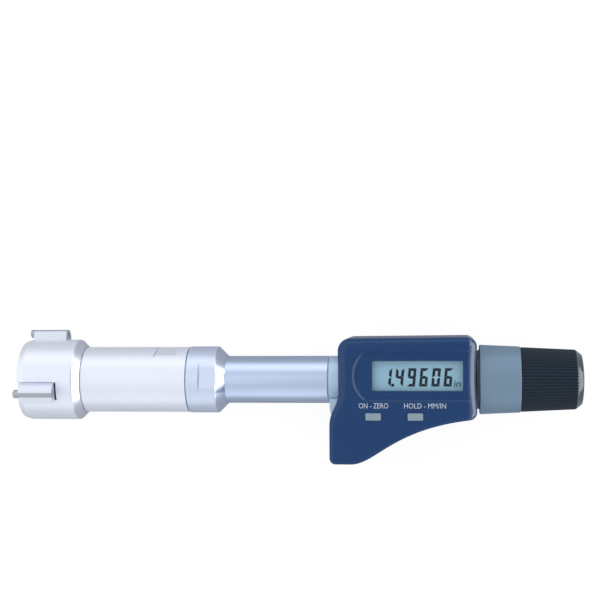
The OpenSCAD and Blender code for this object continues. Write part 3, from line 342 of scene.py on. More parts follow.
def spun(profile):
    """A solid turned about the tool axis from a closed run of (station, radius) corners."""
    bm = bmesh.new()
    corners = [bm.verts.new((x, r, AXIS_H)) for x, r in profile]
    sides = [bm.edges.new((a, b)) for a, b in zip(corners, corners[1:] + corners[:1])]
    bmesh.ops.spin(bm, geom=corners + sides, cent=(0, 0, AXIS_H), axis=(1, 0, 0), angle=2 * math.pi,
                   steps=look().turn_steps, use_merge=True, use_duplicate=False)
    return clean(bm)


def lifted(geometry):
    """The new vertices among what an extrusion returns."""
    return [v for v in geometry if isinstance(v, bmesh.types.BMVert)]


def prism(points, z0, z1):
    """A closed prism on a polygon of (x, y) points."""
    bm = bmesh.new()
    floor = bm.faces.new([bm.verts.new((x, y, z0)) for x, y in points])
    raised = bmesh.ops.extrude_face_region(bm, geom=[floor], use_keep_orig=True)["geom"]
    bmesh.ops.translate(bm, vec=(0, 0, z1 - z0), verts=lifted(raised))
    return clean(bm)


def block(low, high):
    """A closed box between two corners."""
    bm = bmesh.new()
    size = Vector(high) - Vector(low)
    bmesh.ops.create_cube(bm, size=1.0)
    bmesh.ops.scale(bm, vec=size, verts=bm.verts)
    bmesh.ops.translate(bm, vec=Vector(low) + size / 2, verts=bm.verts)
    return bm


def rod(x0, x1, r):
    """A plain cylinder on the tool axis, used as a cutter."""
    bm = bmesh.new()
    turn = Matrix.Translation(((x0 + x1) / 2, 0, AXIS_H)) @ Matrix.Rotation(math.pi / 2, 4, "Y")
    bmesh.ops.create_cone(bm, cap_ends=True, segments=ROUND_STEPS, radius1=r, radius2=r, depth=x1 - x0,
                          matrix=turn)
    return bm


def pin(x, y, z0, z1, r, steps=ROUND_STEPS // 2):
    """A plain upright cylinder, used as a cutter."""
    bm = bmesh.new()
    bmesh.ops.create_cone(bm, cap_ends=True, segments=steps, radius1=r, radius2=r, depth=z1 - z0,
                          matrix=Matrix.Translation((x, y, (z0 + z1) / 2)))
    return bm


def swung(bm, angle):
    """Turns a bmesh about the tool axis, from +Y towards +Z, by degrees."""
    turn = Matrix.Rotation(math.radians(angle), 3, "X")
    bmesh.ops.rotate(bm, cent=(0, 0, AXIS_H), matrix=turn, verts=bm.verts)
    return bm


def holder(name, bm):
    """A temporary object for a Boolean."""
    mesh = bpy.data.meshes.new(name)
    bm.to_mesh(mesh)
    bm.free()
    made = bpy.data.objects.new(name, mesh)
    bpy.context.collection.objects.link(made)
    return made


def cut(bm, cutters):
    """Takes the cutters out of a solid, one after the other."""
    body = holder("cut_body", bm)
    tools = [holder("cut_tool", tool) for tool in cutters]
    for tool in tools:
        step = body.modifiers.new("cut", "BOOLEAN")
        step.operation, step.solver, step.object = "DIFFERENCE", "EXACT", tool
    shaped = bpy.data.meshes.new_from_object(body.evaluated_get(bpy.context.evaluated_depsgraph_get()))
    result = bmesh.new()
    result.from_mesh(shaped)
    for spare in (body, *tools):
        bpy.data.meshes.remove(spare.data)
    bpy.data.meshes.remove(shaped)
    return clean(result)


def crease(bm, low, high=180):
    """Marks edges between two angles as sharp."""
    for edge in bm.edges:
        if len(edge.link_faces) == 2 and low < math.degrees(edge.calc_face_angle(0)) < high:
            edge.smooth = False


def rounded(bm, edges, width, segments, clamp=True):
    """Rounds edges to a width."""
    bmesh.ops.bevel(bm, geom=edges, offset=width, offset_type="OFFSET", segments=segments, profile=0.5,
                    affect="EDGES", clamp_overlap=clamp, material=-1)


def ease(bm, width, limit=EDGE_ANGLE, segments=3, where=None, clamp=True):
    """Rounds the edges that are sharper than a limit."""
    sharp = [e for e in bm.edges if len(e.link_faces) == 2
             and math.degrees(e.calc_face_angle(0)) > limit and (where is None or where(e))]
    rounded(bm, sharp, width, segments, clamp)


def machined(profile, cutters=(), width=None, rims=(), inner=0.0, turn=0.0):
    """A turned piece with rounded rims, given as (station, radius of the rounding), cuts and eased edges.

    Edges nearer to the axis than the inner radius stay sharp. The turn lines its facets up with the cuts.
    """
    bm = swung(spun(profile), turn)
    for x, size in rims:
        ease(bm, size, limit=8, segments=4, where=lambda e: all(abs(v.co.x - x) < TOUCH for v in e.verts))
    if cutters:
        bm = cut(bm, cutters)
    crease(bm, low=9, high=EDGE_ANGLE)

    def outer(edge):
        return all(math.hypot(v.co.y, v.co.z - AXIS_H) >= inner for v in edge.verts)

    ease(bm, width or look().edge_ease / MM, where=outer, clamp=not inner)
    return bm


def eased_copy(name, node, finish_name, body, width, slot):
    """A piece in a CAD node's shape, merged, with its flat faces whole and its edges rounded."""
    merge, flatness = 0.001, math.radians(0.6)
    bm = bmesh.new()
    bm.from_mesh(frame["nodes"][node].data)
    bmesh.ops.scale(bm, vec=(1 / MM,) * 3, verts=bm.verts)
    bmesh.ops.remove_doubles(bm, verts=bm.verts, dist=merge)
    bmesh.ops.dissolve_limit(bm, angle_limit=flatness, verts=bm.verts, edges=bm.edges)
    ease(bm, width)
    add_piece(name, bm, finish_name, body, slot, replaces=(node,))


# Outline of the housing, seen from the display side

LOBE_X, LOBE_Y = -27.5, -29.2
WALL = 1.8


def arc(cx, cy, r, a0, a1, n):
    """Points on an arc, in degrees."""
    turns = [math.radians(a0 + (a1 - a0) * i / n) for i in range(n + 1)]
    return [Vector((cx + r * math.cos(a), cy + r * math.sin(a))) for a in turns]


def bezier(a, b, c, d, n):
    """Inner points of a cubic."""
    points = []
    for i in range(1, n):
        t = i / n
        u = 1 - t
        points.append(u**3 * a + 3 * u * u * t * b + 3 * u * t * t * c + t**3 * d)
    return points


def housing_outline():
    """The moulded outline, anticlockwise from the grip lobe."""
    lobe_r, lobe_flat, low_r, top_r, head_r = 2.2, 7.4, 3.0, 3.4, 4.6
    top, rise, low, end_hollow = 15.4, 0.3, -13.5, 0.4
    slope_deg, first_pull, last_pull, neck_pull = 7, 0.214, 0.667, 0.5
    slope = math.radians(slope_deg)
    start = Vector((LOBE_X + lobe_flat, LOBE_Y))
    along = Vector((math.cos(slope), math.sin(slope)))
    end = Vector((X_RIGHT - low_r * (1 - math.sin(slope)), low))
    reach = end.x - start.x
    corner = end + low_r * Vector((-math.sin(slope), math.cos(slope)))
    end_top = top + rise - top_r
    middle, half = (corner.y + end_top) / 2, (end_top - corner.y) / 2
    hollow = [Vector((X_RIGHT - end_hollow * (1 - k * k), middle + k * half))
              for k in [i / 8 for i in range(-7, 8)]]
    neck_top, neck_low = Vector((X_LEFT, -3.3)), Vector((LOBE_X, -16))
    pull = Vector((0, neck_pull * (neck_top.y - neck_low.y)))
    sweep = bezier(start, start + Vector((first_pull * reach, 0)), end - last_pull * reach * along, end, 48)
    neck = bezier(neck_top, neck_top - pull, neck_low + pull, neck_low, 22)
    return (arc(LOBE_X + lobe_r, LOBE_Y + lobe_r, lobe_r, 180, 270, 12)
            + [start] + sweep
            + arc(corner.x, corner.y, low_r, slope_deg - 90, 0, 12) + hollow
            + arc(X_RIGHT - top_r, end_top, top_r, 0, 90, 14)
            + arc(X_LEFT + head_r, top - head_r, head_r, 90, 180, 16)
            + [neck_top] + neck + [neck_low])


def inward(points):
    """Inward mitre direction at each point of an anticlockwise outline."""
    result = []
    for i, here in enumerate(points):
        before = (here - points[i - 1]).normalized()
        after = (points[(i + 1) % len(points)] - here).normalized()
        a, b = Vector((-before.y, before.x)), Vector((-after.y, after.x))
        result.append((a + b) / (1 + a.dot(b)))
    return result


def smooth_step(t):
    """A soft step from 0 to 1 as t goes from 0 to 1."""
    u = min(max(t, 0), 1)
    return u * u * (3 - 2 * u)


def front_edge(p):
    """Edge radius of the front face: wide at the top, less at the thimble's end, tight under the lobe."""
    wide, end, tight, lobe_share = 3.2, 2.4, 1.4, 0.72
    high = wide + (end - wide) * smooth_step(p.x / X_RIGHT)
    reach = -LOBE_Y * lobe_share
    return tight + (high - tight) * smooth_step((p.y + reach) / reach)


def drawn(count, rings, place):
    """A closed solid drawn through rings of points: place(i, k) is point i of ring k."""
    bm = bmesh.new()
    tag = bm.verts.layers.int.new("place")
    ring = [bm.verts.new(place(i, 0)) for i in range(count)]
    for i, vert in enumerate(ring):
        vert[tag] = i
    loop = [bm.edges.new((a, b)) for a, b in zip(ring, ring[1:] + ring[:1])]
    bmesh.ops.contextual_create(bm, geom=loop)
    for k in range(1, rings):
        raised = bmesh.ops.extrude_edge_only(bm, edges=loop)["geom"]
        ring = {v for v in raised if isinstance(v, bmesh.types.BMVert)}
        loop = [e for e in raised if isinstance(e, bmesh.types.BMEdge) and ring.issuperset(e.verts)]
        for vert in ring:
            vert.co = place(vert[tag], k)
    bmesh.ops.contextual_create(bm, geom=loop)
    bm.verts.layers.int.remove(tag)
    return clean(bm)


# The rounded edge at the thimble's end: how much wider and flatter it is, and where along the outline's turn
# towards that end this comes in
END_WIDER, END_FLATTER = 0.25, 0.5
END_START, END_SPAN = 0.5, 0.4


def rounded_shell(points, z_parting, z_end, radii, steps=9):
    """Solid between the parting plane and a face with a rounded edge, flatter at the thimble's end."""
    up = 1 if z_end > z_parting else -1
    normals = inward(points)
    at_end = [smooth_step((-n.x - END_START) / END_SPAN) for n in normals]

    def place(i, k):
        if k == 0:
            return (points[i].x, points[i].y, z_parting)
        angle = math.pi / 2 * (k - 1) / steps
        power = 1 + END_FLATTER * at_end[i]
        width = radii[i] * (1 + END_WIDER * at_end[i])
        p = points[i] + width * (1 - max(math.cos(angle), 0)**power) * normals[i]
        return (p.x, p.y, z_end - up * radii[i] * (1 - math.sin(angle)**power))

    return drawn(len(points), steps + 2, place)


# Housing: parting groove, sunk panel, window, buttons, screws and battery cap with the gaps round them,
# the rear cover's rounding, and how far under the panel an edge still counts as on the face

PARTING = 0.12
PANEL_Z = Z_FACE - 0.7
PANEL_MID, PANEL_HALF, PANEL_R, PANEL_X = 2.1, 8.55, 10.5, -8.4
PANEL_FOOT, PANEL_FLARE, PANEL_UNDER, PANEL_END_GAP = 0.3, 0.45, 3, 0.02
WINDOW, WINDOW_GAP = (3.65, 2.1, 31.8, 10.5), 0.02
BUTTON_SIZE, BUTTON_GAP = (5.0, 2.15), 0.2
BUTTONS = {"set_button": (-11.9, -12.2), "unit_button": (2.9, -12.2)}
COVER_SCREWS = ((-20.1, 12.4), (20.1, 12.4), (20.1, -10.2), (-23.8, -25.8))
FRAME_SCREWS = ((-18.25, 0), (12, 0))
SCREW_SEAT, SCREW_SEAT_R = 1.4, 1.92
CELL, CAP_R, CAP_DEPTH = (-16.3, -19), 6.44, 3
REAR_EDGE, FACE_BAND = 1.5, 0.05

# How far a cutter passes the face that it cuts through
PAST = 1


def framed(x, y, width, height, z0, z1, grow=0.0):
    """A box on a rectangle of the front face."""
    w, h = width / 2 + grow, height / 2 + grow
    return block((x - w, y - h, z0), (x + w, y + h, z1))


def axis_openings():
    """Cutters for the collar, the inner sleeve and the frame's chin."""
    gap, sleeve_r = 0.1, 7.1
    chin_top, chin_step, chin_low, chin_half = -6.6, -10.0, -13.6, 6
    step_in, low_in, chin_depth = 0.3, 0.2, 2.8
    x_step, x_low, x_end = X_COLLAR + step_in - gap, LOBE_X + low_in - gap, X_LEFT + chin_depth
    chin = prism([(x_step, chin_top), (x_end, chin_top), (x_end, chin_low - gap), (x_low, chin_low - gap),
                  (x_step, chin_step)], AXIS_H - chin_half - gap, AXIS_H + chin_half + gap)
    return [rod(X_COLLAR, X_LEFT + WALL + PAST, BARREL_R + gap),
            rod(X_RIGHT - 2 * WALL, X_RIGHT + PAST, sleeve_r), chin]


def cavity(points, z0, z1):
    """The hollow inside a cover."""
    return prism([p + WALL * n for p, n in zip(points, inward(points))], z0, z1)


def panel_points():
    """Outline of the sunk panel: a bow at the head's end, open at the thimble's end."""
    half = math.degrees(math.asin(PANEL_HALF / PANEL_R))
    low, high = PANEL_MID - PANEL_HALF, PANEL_MID + PANEL_HALF
    return arc(PANEL_X, PANEL_MID, PANEL_R, 180 - half, 180 + half, 40) + [
        Vector((X_RIGHT + PAST, low)), Vector((X_RIGHT + PAST, high))]


def panel_recess(points, radii):
    """Cutter for the sunk display panel: sloped sides, and a floor that rounds off with the housing's end."""
    rim = panel_points()
    normals = inward(rim)
    rings = ((PANEL_Z - PANEL_UNDER, PANEL_FOOT), (PANEL_Z, PANEL_FOOT), (Z_FACE, -PANEL_FLARE),
             (Z_FACE + PAST, -PANEL_FLARE))

    def place(i, k):
        z, inset = rings[k]
        p = rim[i] + inset * normals[i]
        return (p.x, p.y, z)

    lowered = [p + PANEL_END_GAP * n for p, n in zip(points, inward(points))]
    return cut(drawn(len(rim), len(rings), place), [rounded_shell(lowered, AXIS_H, PANEL_Z, radii)])


def face_openings():
    """Cutters for the window and the buttons."""
    z0, z1 = Z_FACE - 2 * WALL, Z_FACE + PAST
    return [framed(*WINDOW, z0, z1, WINDOW_GAP)] + [
        framed(*at, *BUTTON_SIZE, z0, z1, BUTTON_GAP) for at in BUTTONS.values()]


def back_openings():
    """Cutters for the battery cap and the seats of the screws."""
    return [pin(*CELL, -PAST, CAP_DEPTH, CAP_R, ROUND_STEPS)] + [
        pin(x, y, -PAST, SCREW_SEAT, SCREW_SEAT_R) for x, y in COVER_SCREWS + FRAME_SCREWS]


def on_face(edge):
    """Whether an edge is an outer corner of the front face or the panel."""
    return edge.is_convex and min(v.co.z for v in edge.verts) > PANEL_Z - FACE_BAND


def at_parting(edge):
    """Whether an edge lies where the two covers meet."""
    return all(abs(v.co.z - AXIS_H) < TOUCH for v in edge.verts)


def finish_cover(name, cover, node):
    """Bevels a cover where it meets the other, marks its sharp edges and adds it in its node's place."""
    ease(cover, PARTING, limit=60, segments=1, where=at_parting)
    crease(cover, low=32)
    add_piece(name, cover, "housing_blue", "frame", replaces=(node,))


class MICROMETER_OT_housing(bpy.types.Operator):
    """Moulds the front and rear covers with their openings"""

    bl_idname = "micrometer.housing"
    bl_label = "Housing Covers"

    def execute(self, context):
        points = housing_outline()
        radii = [front_edge(p) for p in points]
        front = cut(rounded_shell(points, AXIS_H, Z_FACE, radii),
                    [cavity(points, AXIS_H - PAST, Z_FACE - WALL), panel_recess(points, radii)]
                    + face_openings() + axis_openings())
        ease(front, look().moulded_ease / MM, where=on_face)
        finish_cover("front_shell", front, "front_cover")
        rear = cut(rounded_shell(points, AXIS_H, 0, [REAR_EDGE] * len(points)),
                   [cavity(points, WALL, AXIS_H + PAST)] + back_openings() + axis_openings())
        finish_cover("rear_shell", rear, "rear_cover")
        return {"FINISHED"}


def stepped_block(x, y, width, height, z0, z_step, z1, rim):
    """A block with a rim round its foot: the top is inset and drawn up."""
    bm = framed(x, y, width, height, z0, z_step, rim)
    top = max(bm.faces, key=lambda f: f.calc_center_median().z)
    bmesh.ops.inset_region(bm, faces=[top], thickness=rim)
    raised = bmesh.ops.extrude_face_region(bm, geom=[top])["geom"]
    bmesh.ops.translate(bm, vec=(0, 0, z1 - z_step), verts=lifted(raised))
    bmesh.ops.delete(bm, geom=[top], context="FACES_ONLY")
    return clean(bm)


def crown_edges(bm, z, upright):
    """Upright edges that reach a height, or the edges that lie at it."""
    least_rise = 0.1
    return [e for e in bm.edges if max(v.co.z for v in e.verts) > z - TOUCH
            and (abs(e.verts[0].co.z - e.verts[1].co.z) > least_rise) == upright]


def round_crown(bm, z, corner, edge):
    """Rounds a crown's corners, then its top edge, and marks the edges that stay sharp."""
    for upright, width in ((True, corner), (False, edge)):
        rounded(bm, crown_edges(bm, z, upright), width, segments=4)
    crease(bm, low=60)


class MICROMETER_OT_buttons(bpy.types.Operator):
    """Makes the two push buttons with their hidden flanges"""

    bl_idname = "micrometer.buttons"
    bl_label = "Push Buttons"

    def execute(self, context):
        flange, flange_rim, corner, edge = 0.9, 0.7, 0.35, 0.3
        for node, at in BUTTONS.items():
            low, high = station(node, 0, 2), station(node, 1, 2)
            key = stepped_block(*at, *BUTTON_SIZE, low, low + flange, high, flange_rim)
            round_crown(key, high, corner, edge)
            add_piece(node.replace("button", "key"), key, "button_grey", node, replaces=(node,))
        return {"FINISHED"}


# Display: lit segments of each digit, then the window's foot and rim, the inks' thickness and the words

SEGMENTS = {"0": "abcdef", "1": "bc", "2": "abged", "3": "abgcd", "4": "fgbc", "5": "afgcd", "6": "afgedc",
            "7": "abc", "8": "abcdefg", "9": "abcdfg"}
PANE_FOOT, PANE_STEP, PANE_RIM = Z_LCD + 0.15, Z_LCD + 0.75, 1.0
INK_Z, INK_DEPTH, LABEL_DEPTH = Z_LCD + 0.02, 0.05, 0.03
DIGITS = {"x0": -8.6, "y0": -1.66, "pitch": 4.27, "width": 2.8, "height": 6.4, "thick": 0.92, "slant": 0.1}
UNIT = {"x0": 16.5, "x1": 18.8, "y_mid": -0.6, "height": 2.2, "slant": 0.12}
LABEL = {"y_mid": -8.3, "height": 1.85, "weight": -0.006}
LETTER_STEPS, LETTER_MERGE = 3, 0.0001


def flat(bm, points):
    """One flat face on a run of (x, y) points."""
    made = bmesh.ops.create_circle(bm, cap_ends=True, segments=len(points), radius=1.0)["verts"]
    for vert, (x, y) in zip(made, points):
        vert.co = (x, y, 0)


def segment_outlines(w, h, t, gap):
    """Outlines of the seven mitred segments of a digit of width w, height h and stroke t."""
    mid, half = h / 2, t / 2
    left = {"f": [(0, h - gap), (0, mid + gap), (t, mid + half + gap), (t, h - t - gap)],
            "e": [(0, gap), (t, t + gap), (t, mid - half - gap), (0, mid - gap)]}
    right = {"b": [(w - x, y) for x, y in left["f"]], "c": [(w - x, y) for x, y in left["e"]]}
    level = {"a": [(gap, h), (t + gap, h - t), (w - t - gap, h - t), (w - gap, h)],
             "d": [(gap, 0), (w - gap, 0), (w - t - gap, t), (t + gap, t)],
             "g": [(gap, mid), (t + gap, mid - half), (w - t - gap, mid - half), (w - gap, mid),
                   (w - t - gap, mid + half), (t + gap, mid + half)]}
    return {**left, **right, **level}


def raise_faces(bm, depth):
    """Gives flat faces a thickness."""
    raised = bmesh.ops.extrude_face_region(bm, geom=bm.faces[:], use_keep_orig=True)["geom"]
    bmesh.ops.translate(bm, vec=(0, 0, depth), verts=lifted(raised))
    bmesh.ops.recalc_face_normals(bm, faces=bm.faces)


def lean(bm, slant):
    """Leans flat marks to the right."""
    for vert in bm.verts:
        vert.co.x += vert.co.y * slant


def digits(reading, x0, y0, pitch, width, height, thick, slant):
    """The reading in slanted seven-segment digits, from its lower left corner."""
    bm = bmesh.new()
    outlines = segment_outlines(width, height, thick, gap=0.05)
    cell = 0
    for mark in reading:
        left = cell * pitch
        if mark == ".":
            x = left - (pitch - width) / 2 - thick / 2
            flat(bm, [(x, 0), (x + thick, 0), (x + thick, thick), (x, thick)])
            continue
        for name in SEGMENTS[mark]:
            flat(bm, [(left + x, y) for x, y in outlines[name]])
        cell += 1
    lean(bm, slant)
    bmesh.ops.translate(bm, vec=(x0, y0, 0), verts=bm.verts)
    return bm


def lettering(text, x0, x1, y_mid, height, slant=0.0, weight=0.0):
    """Flat letters between two stations, as faces: weight thins or swells the strokes."""
    curve = bpy.data.curves.new("lettering", "FONT")
    curve.body = text
    curve.offset = weight
    curve.resolution_u = LETTER_STEPS
    written = bpy.data.objects.new("lettering", curve)
    bpy.context.collection.objects.link(written)
    mesh = bpy.data.meshes.new_from_object(written.evaluated_get(bpy.context.evaluated_depsgraph_get()))
    bm = bmesh.new()
    bm.from_mesh(mesh)
    bpy.data.objects.remove(written)
    bpy.data.curves.remove(curve)
    bpy.data.meshes.remove(mesh)
    bmesh.ops.remove_doubles(bm, verts=bm.verts, dist=LETTER_MERGE)
    low = Vector([min(v.co[k] for v in bm.verts) for k in range(3)])
    high = Vector([max(v.co[k] for v in bm.verts) for k in range(3)])
    bmesh.ops.translate(bm, vec=(-low.x, -(low.y + high.y) / 2, 0), verts=bm.verts)
    bmesh.ops.scale(bm, vec=((x1 - x0) / (high.x - low.x), height / (high.y - low.y), 1), verts=bm.verts)
    lean(bm, slant)
    bmesh.ops.translate(bm, vec=(x0, y_mid, 0), verts=bm.verts)
    return bm


def printed(name, bm, z, depth, finish_name, slot):
    """A thin print on a face of the housing."""
    raise_faces(bm, depth)
    bmesh.ops.translate(bm, vec=(0, 0, z), verts=bm.verts)
    crease(bm, low=40)
    add_piece(name, bm, finish_name, "frame", slot=slot)


class MICROMETER_OT_display(bpy.types.Operator):
    """Makes the window, the reading behind it and the words beside the buttons"""

    bl_idname = "micrometer.display"
    bl_label = "Display"

    def execute(self, context):
        top, corner, edge = station("display_window", 1, 2), 0.2, 0.15
        pane = stepped_block(*WINDOW, PANE_FOOT, PANE_STEP, top, PANE_RIM)
        round_crown(pane, top, corner, edge)
        add_piece("window_pane", pane, "window_clear", "frame", replaces=("display_window",))
        ink = (INK_Z, INK_DEPTH, "segment_ink", "rubber_black")
        printed("reading_digits", digits(look().reading, **DIGITS), *ink)
        printed("reading_unit", lettering("in", **UNIT), *ink)
        white = (Z_FACE, LABEL_DEPTH, "label_white", "button_grey")
        printed("label_power", lettering("ON - ZERO", x0=-16.9, x1=-6.6, **LABEL), *white)
        printed("label_unit", lettering("HOLD - MM/IN", x0=-1.0, x1=13.6, **LABEL), *white)
        return {"FINISHED"}


# Measuring head, sleeve, nut, barrel and thimble


def spanner_flats(x0, x1, r, angle):
    """Cutters for two opposite flats at a radius, each with a narrow run-out groove at its head end."""
    groove, groove_depth, half, out = 0.45, 0.55, 20, 30
    cutters = []
    for turn in (angle, angle + 180):
        for end, low in ((x1, r), (x0 + groove, r - groove_depth)):
            cutters.append(swung(block((x0, low, AXIS_H - half), (end, out, AXIS_H + half)), turn))
    return cutters


def head_shape():
    """The head: plate recess, nose, rear chamfer, the sleeve's seat, bore, garter groove and slots."""
    plate_r, plate_depth, nose, nose_drop, chamfer = 11.42, 1.3, 2.2, 0.8, 2.4
    seat_r, seat_depth, cavity_r, bore_r, bore_end = 11.02, 6.3, 9.6, 6.5, 4.0
    groove_r, groove_half, sharp_r, rim_ease, nose_ease = 11.8, 1.6, 11.9, 0.5, 0.2
    x_plate, x_nose, x_rim = X_HEAD + plate_depth, X_HEAD + nose, X_HEAD_END - chamfer
    x_seat, x_bore = X_HEAD_END - seat_depth, X_JAW_END - bore_end
    low, high = (X_HEAD - PAST, 0, AXIS_H - SLOT_HALF), (X_SLOT_END, 2 * HEAD_R, AXIS_H + SLOT_HALF)
    slots = [swung(block(low, high), JAW_ANGLE + 120 * k) for k in range(3)]
    profile = [(X_HEAD, plate_r), (X_HEAD, HEAD_R - nose_drop), (x_nose, HEAD_R), (x_rim, HEAD_R),
               (X_HEAD_END, HEAD_R - chamfer), (X_HEAD_END, seat_r), (x_seat, seat_r), (x_seat, cavity_r),
               (x_bore, cavity_r), (x_bore, bore_r), (X_GARTER + groove_half, bore_r),
               (X_GARTER + groove_half, groove_r), (X_GARTER - groove_half, groove_r),
               (X_GARTER - groove_half, bore_r), (x_plate, bore_r), (x_plate, plate_r)]
    return machined(profile, slots, rims=((x_rim, rim_ease), (x_nose, nose_ease)), inner=sharp_r,
                    turn=JAW_ANGLE)


def sleeve_shape():
    """The sleeve: spigot in the head, tube with spanner flats, joint groove, neck in the nut and bores."""
    tube_r, spigot_r, bore_r, guide_r, spring_r, neck_r = 11.95, 11.0, 9.3, 7.04, 4.1, 9.8
    groove, joint, joint_r = 0.4, 0.35, 10.7
    flat_start, flat_end, flat_r, flat_turn = 12.5, 4.5, 11.15, 18
    profile = [(X_SLEEVE, bore_r), (X_SLEEVE, spigot_r), (X_HEAD_END, spigot_r),
               (X_HEAD_END, tube_r - groove), (X_HEAD_END + groove, tube_r - groove),
               (X_HEAD_END + groove, tube_r), (X_NUT - joint, tube_r),
               (X_NUT - joint, joint_r), (X_NUT, joint_r), (X_NUT, neck_r), (X_NECK_END, neck_r),
               (X_NECK_END, ROD_BORE), (X_NUT, ROD_BORE), (X_NUT, spring_r), (X_GUIDE_END, spring_r),
               (X_GUIDE_END, guide_r), (X_GUIDE, guide_r), (X_GUIDE, bore_r)]
    return machined(profile, spanner_flats(X_NUT - flat_start, X_NUT - flat_end, flat_r, flat_turn))


def nut_shape():
    """The union nut: spanner flats, 45 degree shoulder, and a lip behind the barrel's flange."""
    outer_r, thread_r, mouth_r, shoulder, lead, rim_ease = 12.15, 9.83, 8.62, 3.25, 0.3, 0.4
    flat_start, flat_r, flat_turn = 4.5, 11.55, 84
    x_shoulder = X_NUT_END - shoulder
    profile = [(X_NUT, thread_r), (X_NUT, outer_r - lead), (X_NUT + lead, outer_r), (x_shoulder, outer_r),
               (X_NUT_END, outer_r - shoulder), (X_NUT_END, mouth_r), (X_LIP, mouth_r), (X_LIP, thread_r)]
    return machined(profile, spanner_flats(X_NUT + flat_start, X_NUT_END + PAST, flat_r, flat_turn),
                    rims=((x_shoulder, rim_ease),))


def barrel_shape():
    """The barrel: flange in the nut, plain tube, and a spigot in the frame."""
    flange_r, bore_r, bore_depth, spigot_r, lead = 9.78, 6.3, 34, 7, 0.3
    x_bore = X_NECK_END + bore_depth
    profile = [(X_NECK_END, flange_r), (X_LIP, flange_r), (X_LIP, BARREL_R), (X_COLLAR - lead, BARREL_R),
               (X_COLLAR, BARREL_R - lead), (X_COLLAR, spigot_r), (X_BARREL_END, spigot_r),
               (X_BARREL_END, ROD_BORE), (x_bore, ROD_BORE), (x_bore, bore_r), (X_NECK_END, bore_r)]
    return machined(profile)


def thimble_shape():
    """The thimble: tapered skirt, end wall and boss."""
    mouth_r, skirt_r, end_r, boss_r, bore_r, wall_r = 11.2, 12.5, 11.85, 6, 3.02, 10.68
    end_wall, edge = 3, 0.22
    x_wall = X_THIMBLE_END - end_wall
    profile = [(X_THIMBLE, mouth_r), (X_THIMBLE, skirt_r), (X_THIMBLE_END, end_r), (X_THIMBLE_END, boss_r),
               (X_BOSS_END, boss_r), (X_BOSS_END, bore_r), (x_wall, bore_r), (x_wall, wall_r)]
    return machined(profile, width=edge)


class MICROMETER_OT_steelwork(bpy.types.Operator):
    """Turns the head, sleeve, coupling nut and barrel, and eases the jaws"""

    bl_idname = "micrometer.steelwork"
    bl_label = "Steelwork"

    def execute(self, context):
        add_piece("head_shell", head_shape(), "satin_steel", "frame", replaces=("head_body",))
        add_piece("sleeve_tube", sleeve_shape(), "satin_steel", "frame", replaces=("head_sleeve",))
        add_piece("union_nut", nut_shape(), "nut_steel", "frame", slot="tube_steel",
                  replaces=("coupling_nut",))
        add_piece("barrel_tube", barrel_shape(), "tube_steel", "frame", replaces=("barrel",))
        jaw_ease = 0.12
        for name in ("top", "front", "rear"):
            eased_copy(f"jaw_block_{name}", f"anvil_{name}", "jaw_steel", f"jaw_{name}", jaw_ease,
                       "bright_steel")
        return {"FINISHED"}


class MICROMETER_OT_thimble(bpy.types.Operator):
    """Turns the tapered thimble with its boss"""

    bl_idname = "micrometer.thimble"
    bl_label = "Thimble"

    def execute(self, context):
        add_piece("thimble_shell", thimble_shape(), "thimble_grey", "thimble", replaces=("thimble",))
        return {"FINISHED"}


# Friction knob: radii of its tapered side at the thimble and at the dome, that side's length, and the hollow

KNOB_R, DOME_R, KNOB_SIDE, KNOB_HOLLOW = 11.6, 10.675, 19.2, 9.0
X_DOME = X_KNOB + KNOB_SIDE
RIB_STEPS, RIB_DEPTH, RIB_POWER = 8, 0.4, 1.5


def knob_side(x):
    """Radius over the knob's ribs at a station."""
    return KNOB_R + (DOME_R - KNOB_R) * (x - X_KNOB) / KNOB_SIDE


def knob_dome():
    """Corners of the domed end: a bevel in steps that steepen, then a shallow cap."""
    lead, drop, step, tilts, cap = 0.12, 0.1, 0.34, range(34, 42), (0.96, 0.9, 0.75, 0.5, 0.25)
    dome = [(X_DOME + lead, DOME_R - drop)]
    for tilt in tilts:
        x, r = dome[-1]
        dome.append((x + step * math.cos(math.radians(tilt)), r - step * math.sin(math.radians(tilt))))
    x_cap, r_cap = dome[-1]
    return dome + [(x_cap + (X_KNOB_END - x_cap) * (1 - t * t), r_cap * t) for t in cap]


def knob_rings():
    """The knob's section as (station, radius, whether ribbed), from its hollow over the skirt to the dome."""
    end_wall, axis_r, tip_r, rounding = 0.2, 0.5, 0.4, ((0, 0.25), (0.07, 0.07), (0.25, 0.01))
    inside = [(X_DOME - end_wall, axis_r), (X_DOME - end_wall, KNOB_HOLLOW), (X_KNOB, KNOB_HOLLOW)]
    lip = [(X_KNOB + along, KNOB_R - drop) for along, drop in rounding]
    stations = [X_KNOB + KNOB_SIDE * t for t in (0.25, 0.5, 0.75, 1)]
    outside = lip + [(x, knob_side(x)) for x in stations] + knob_dome()
    return ([(x, r, False) for x, r in inside] + [(x, r, True) for x, r in outside]
            + [(X_KNOB_END, tip_r, False)])


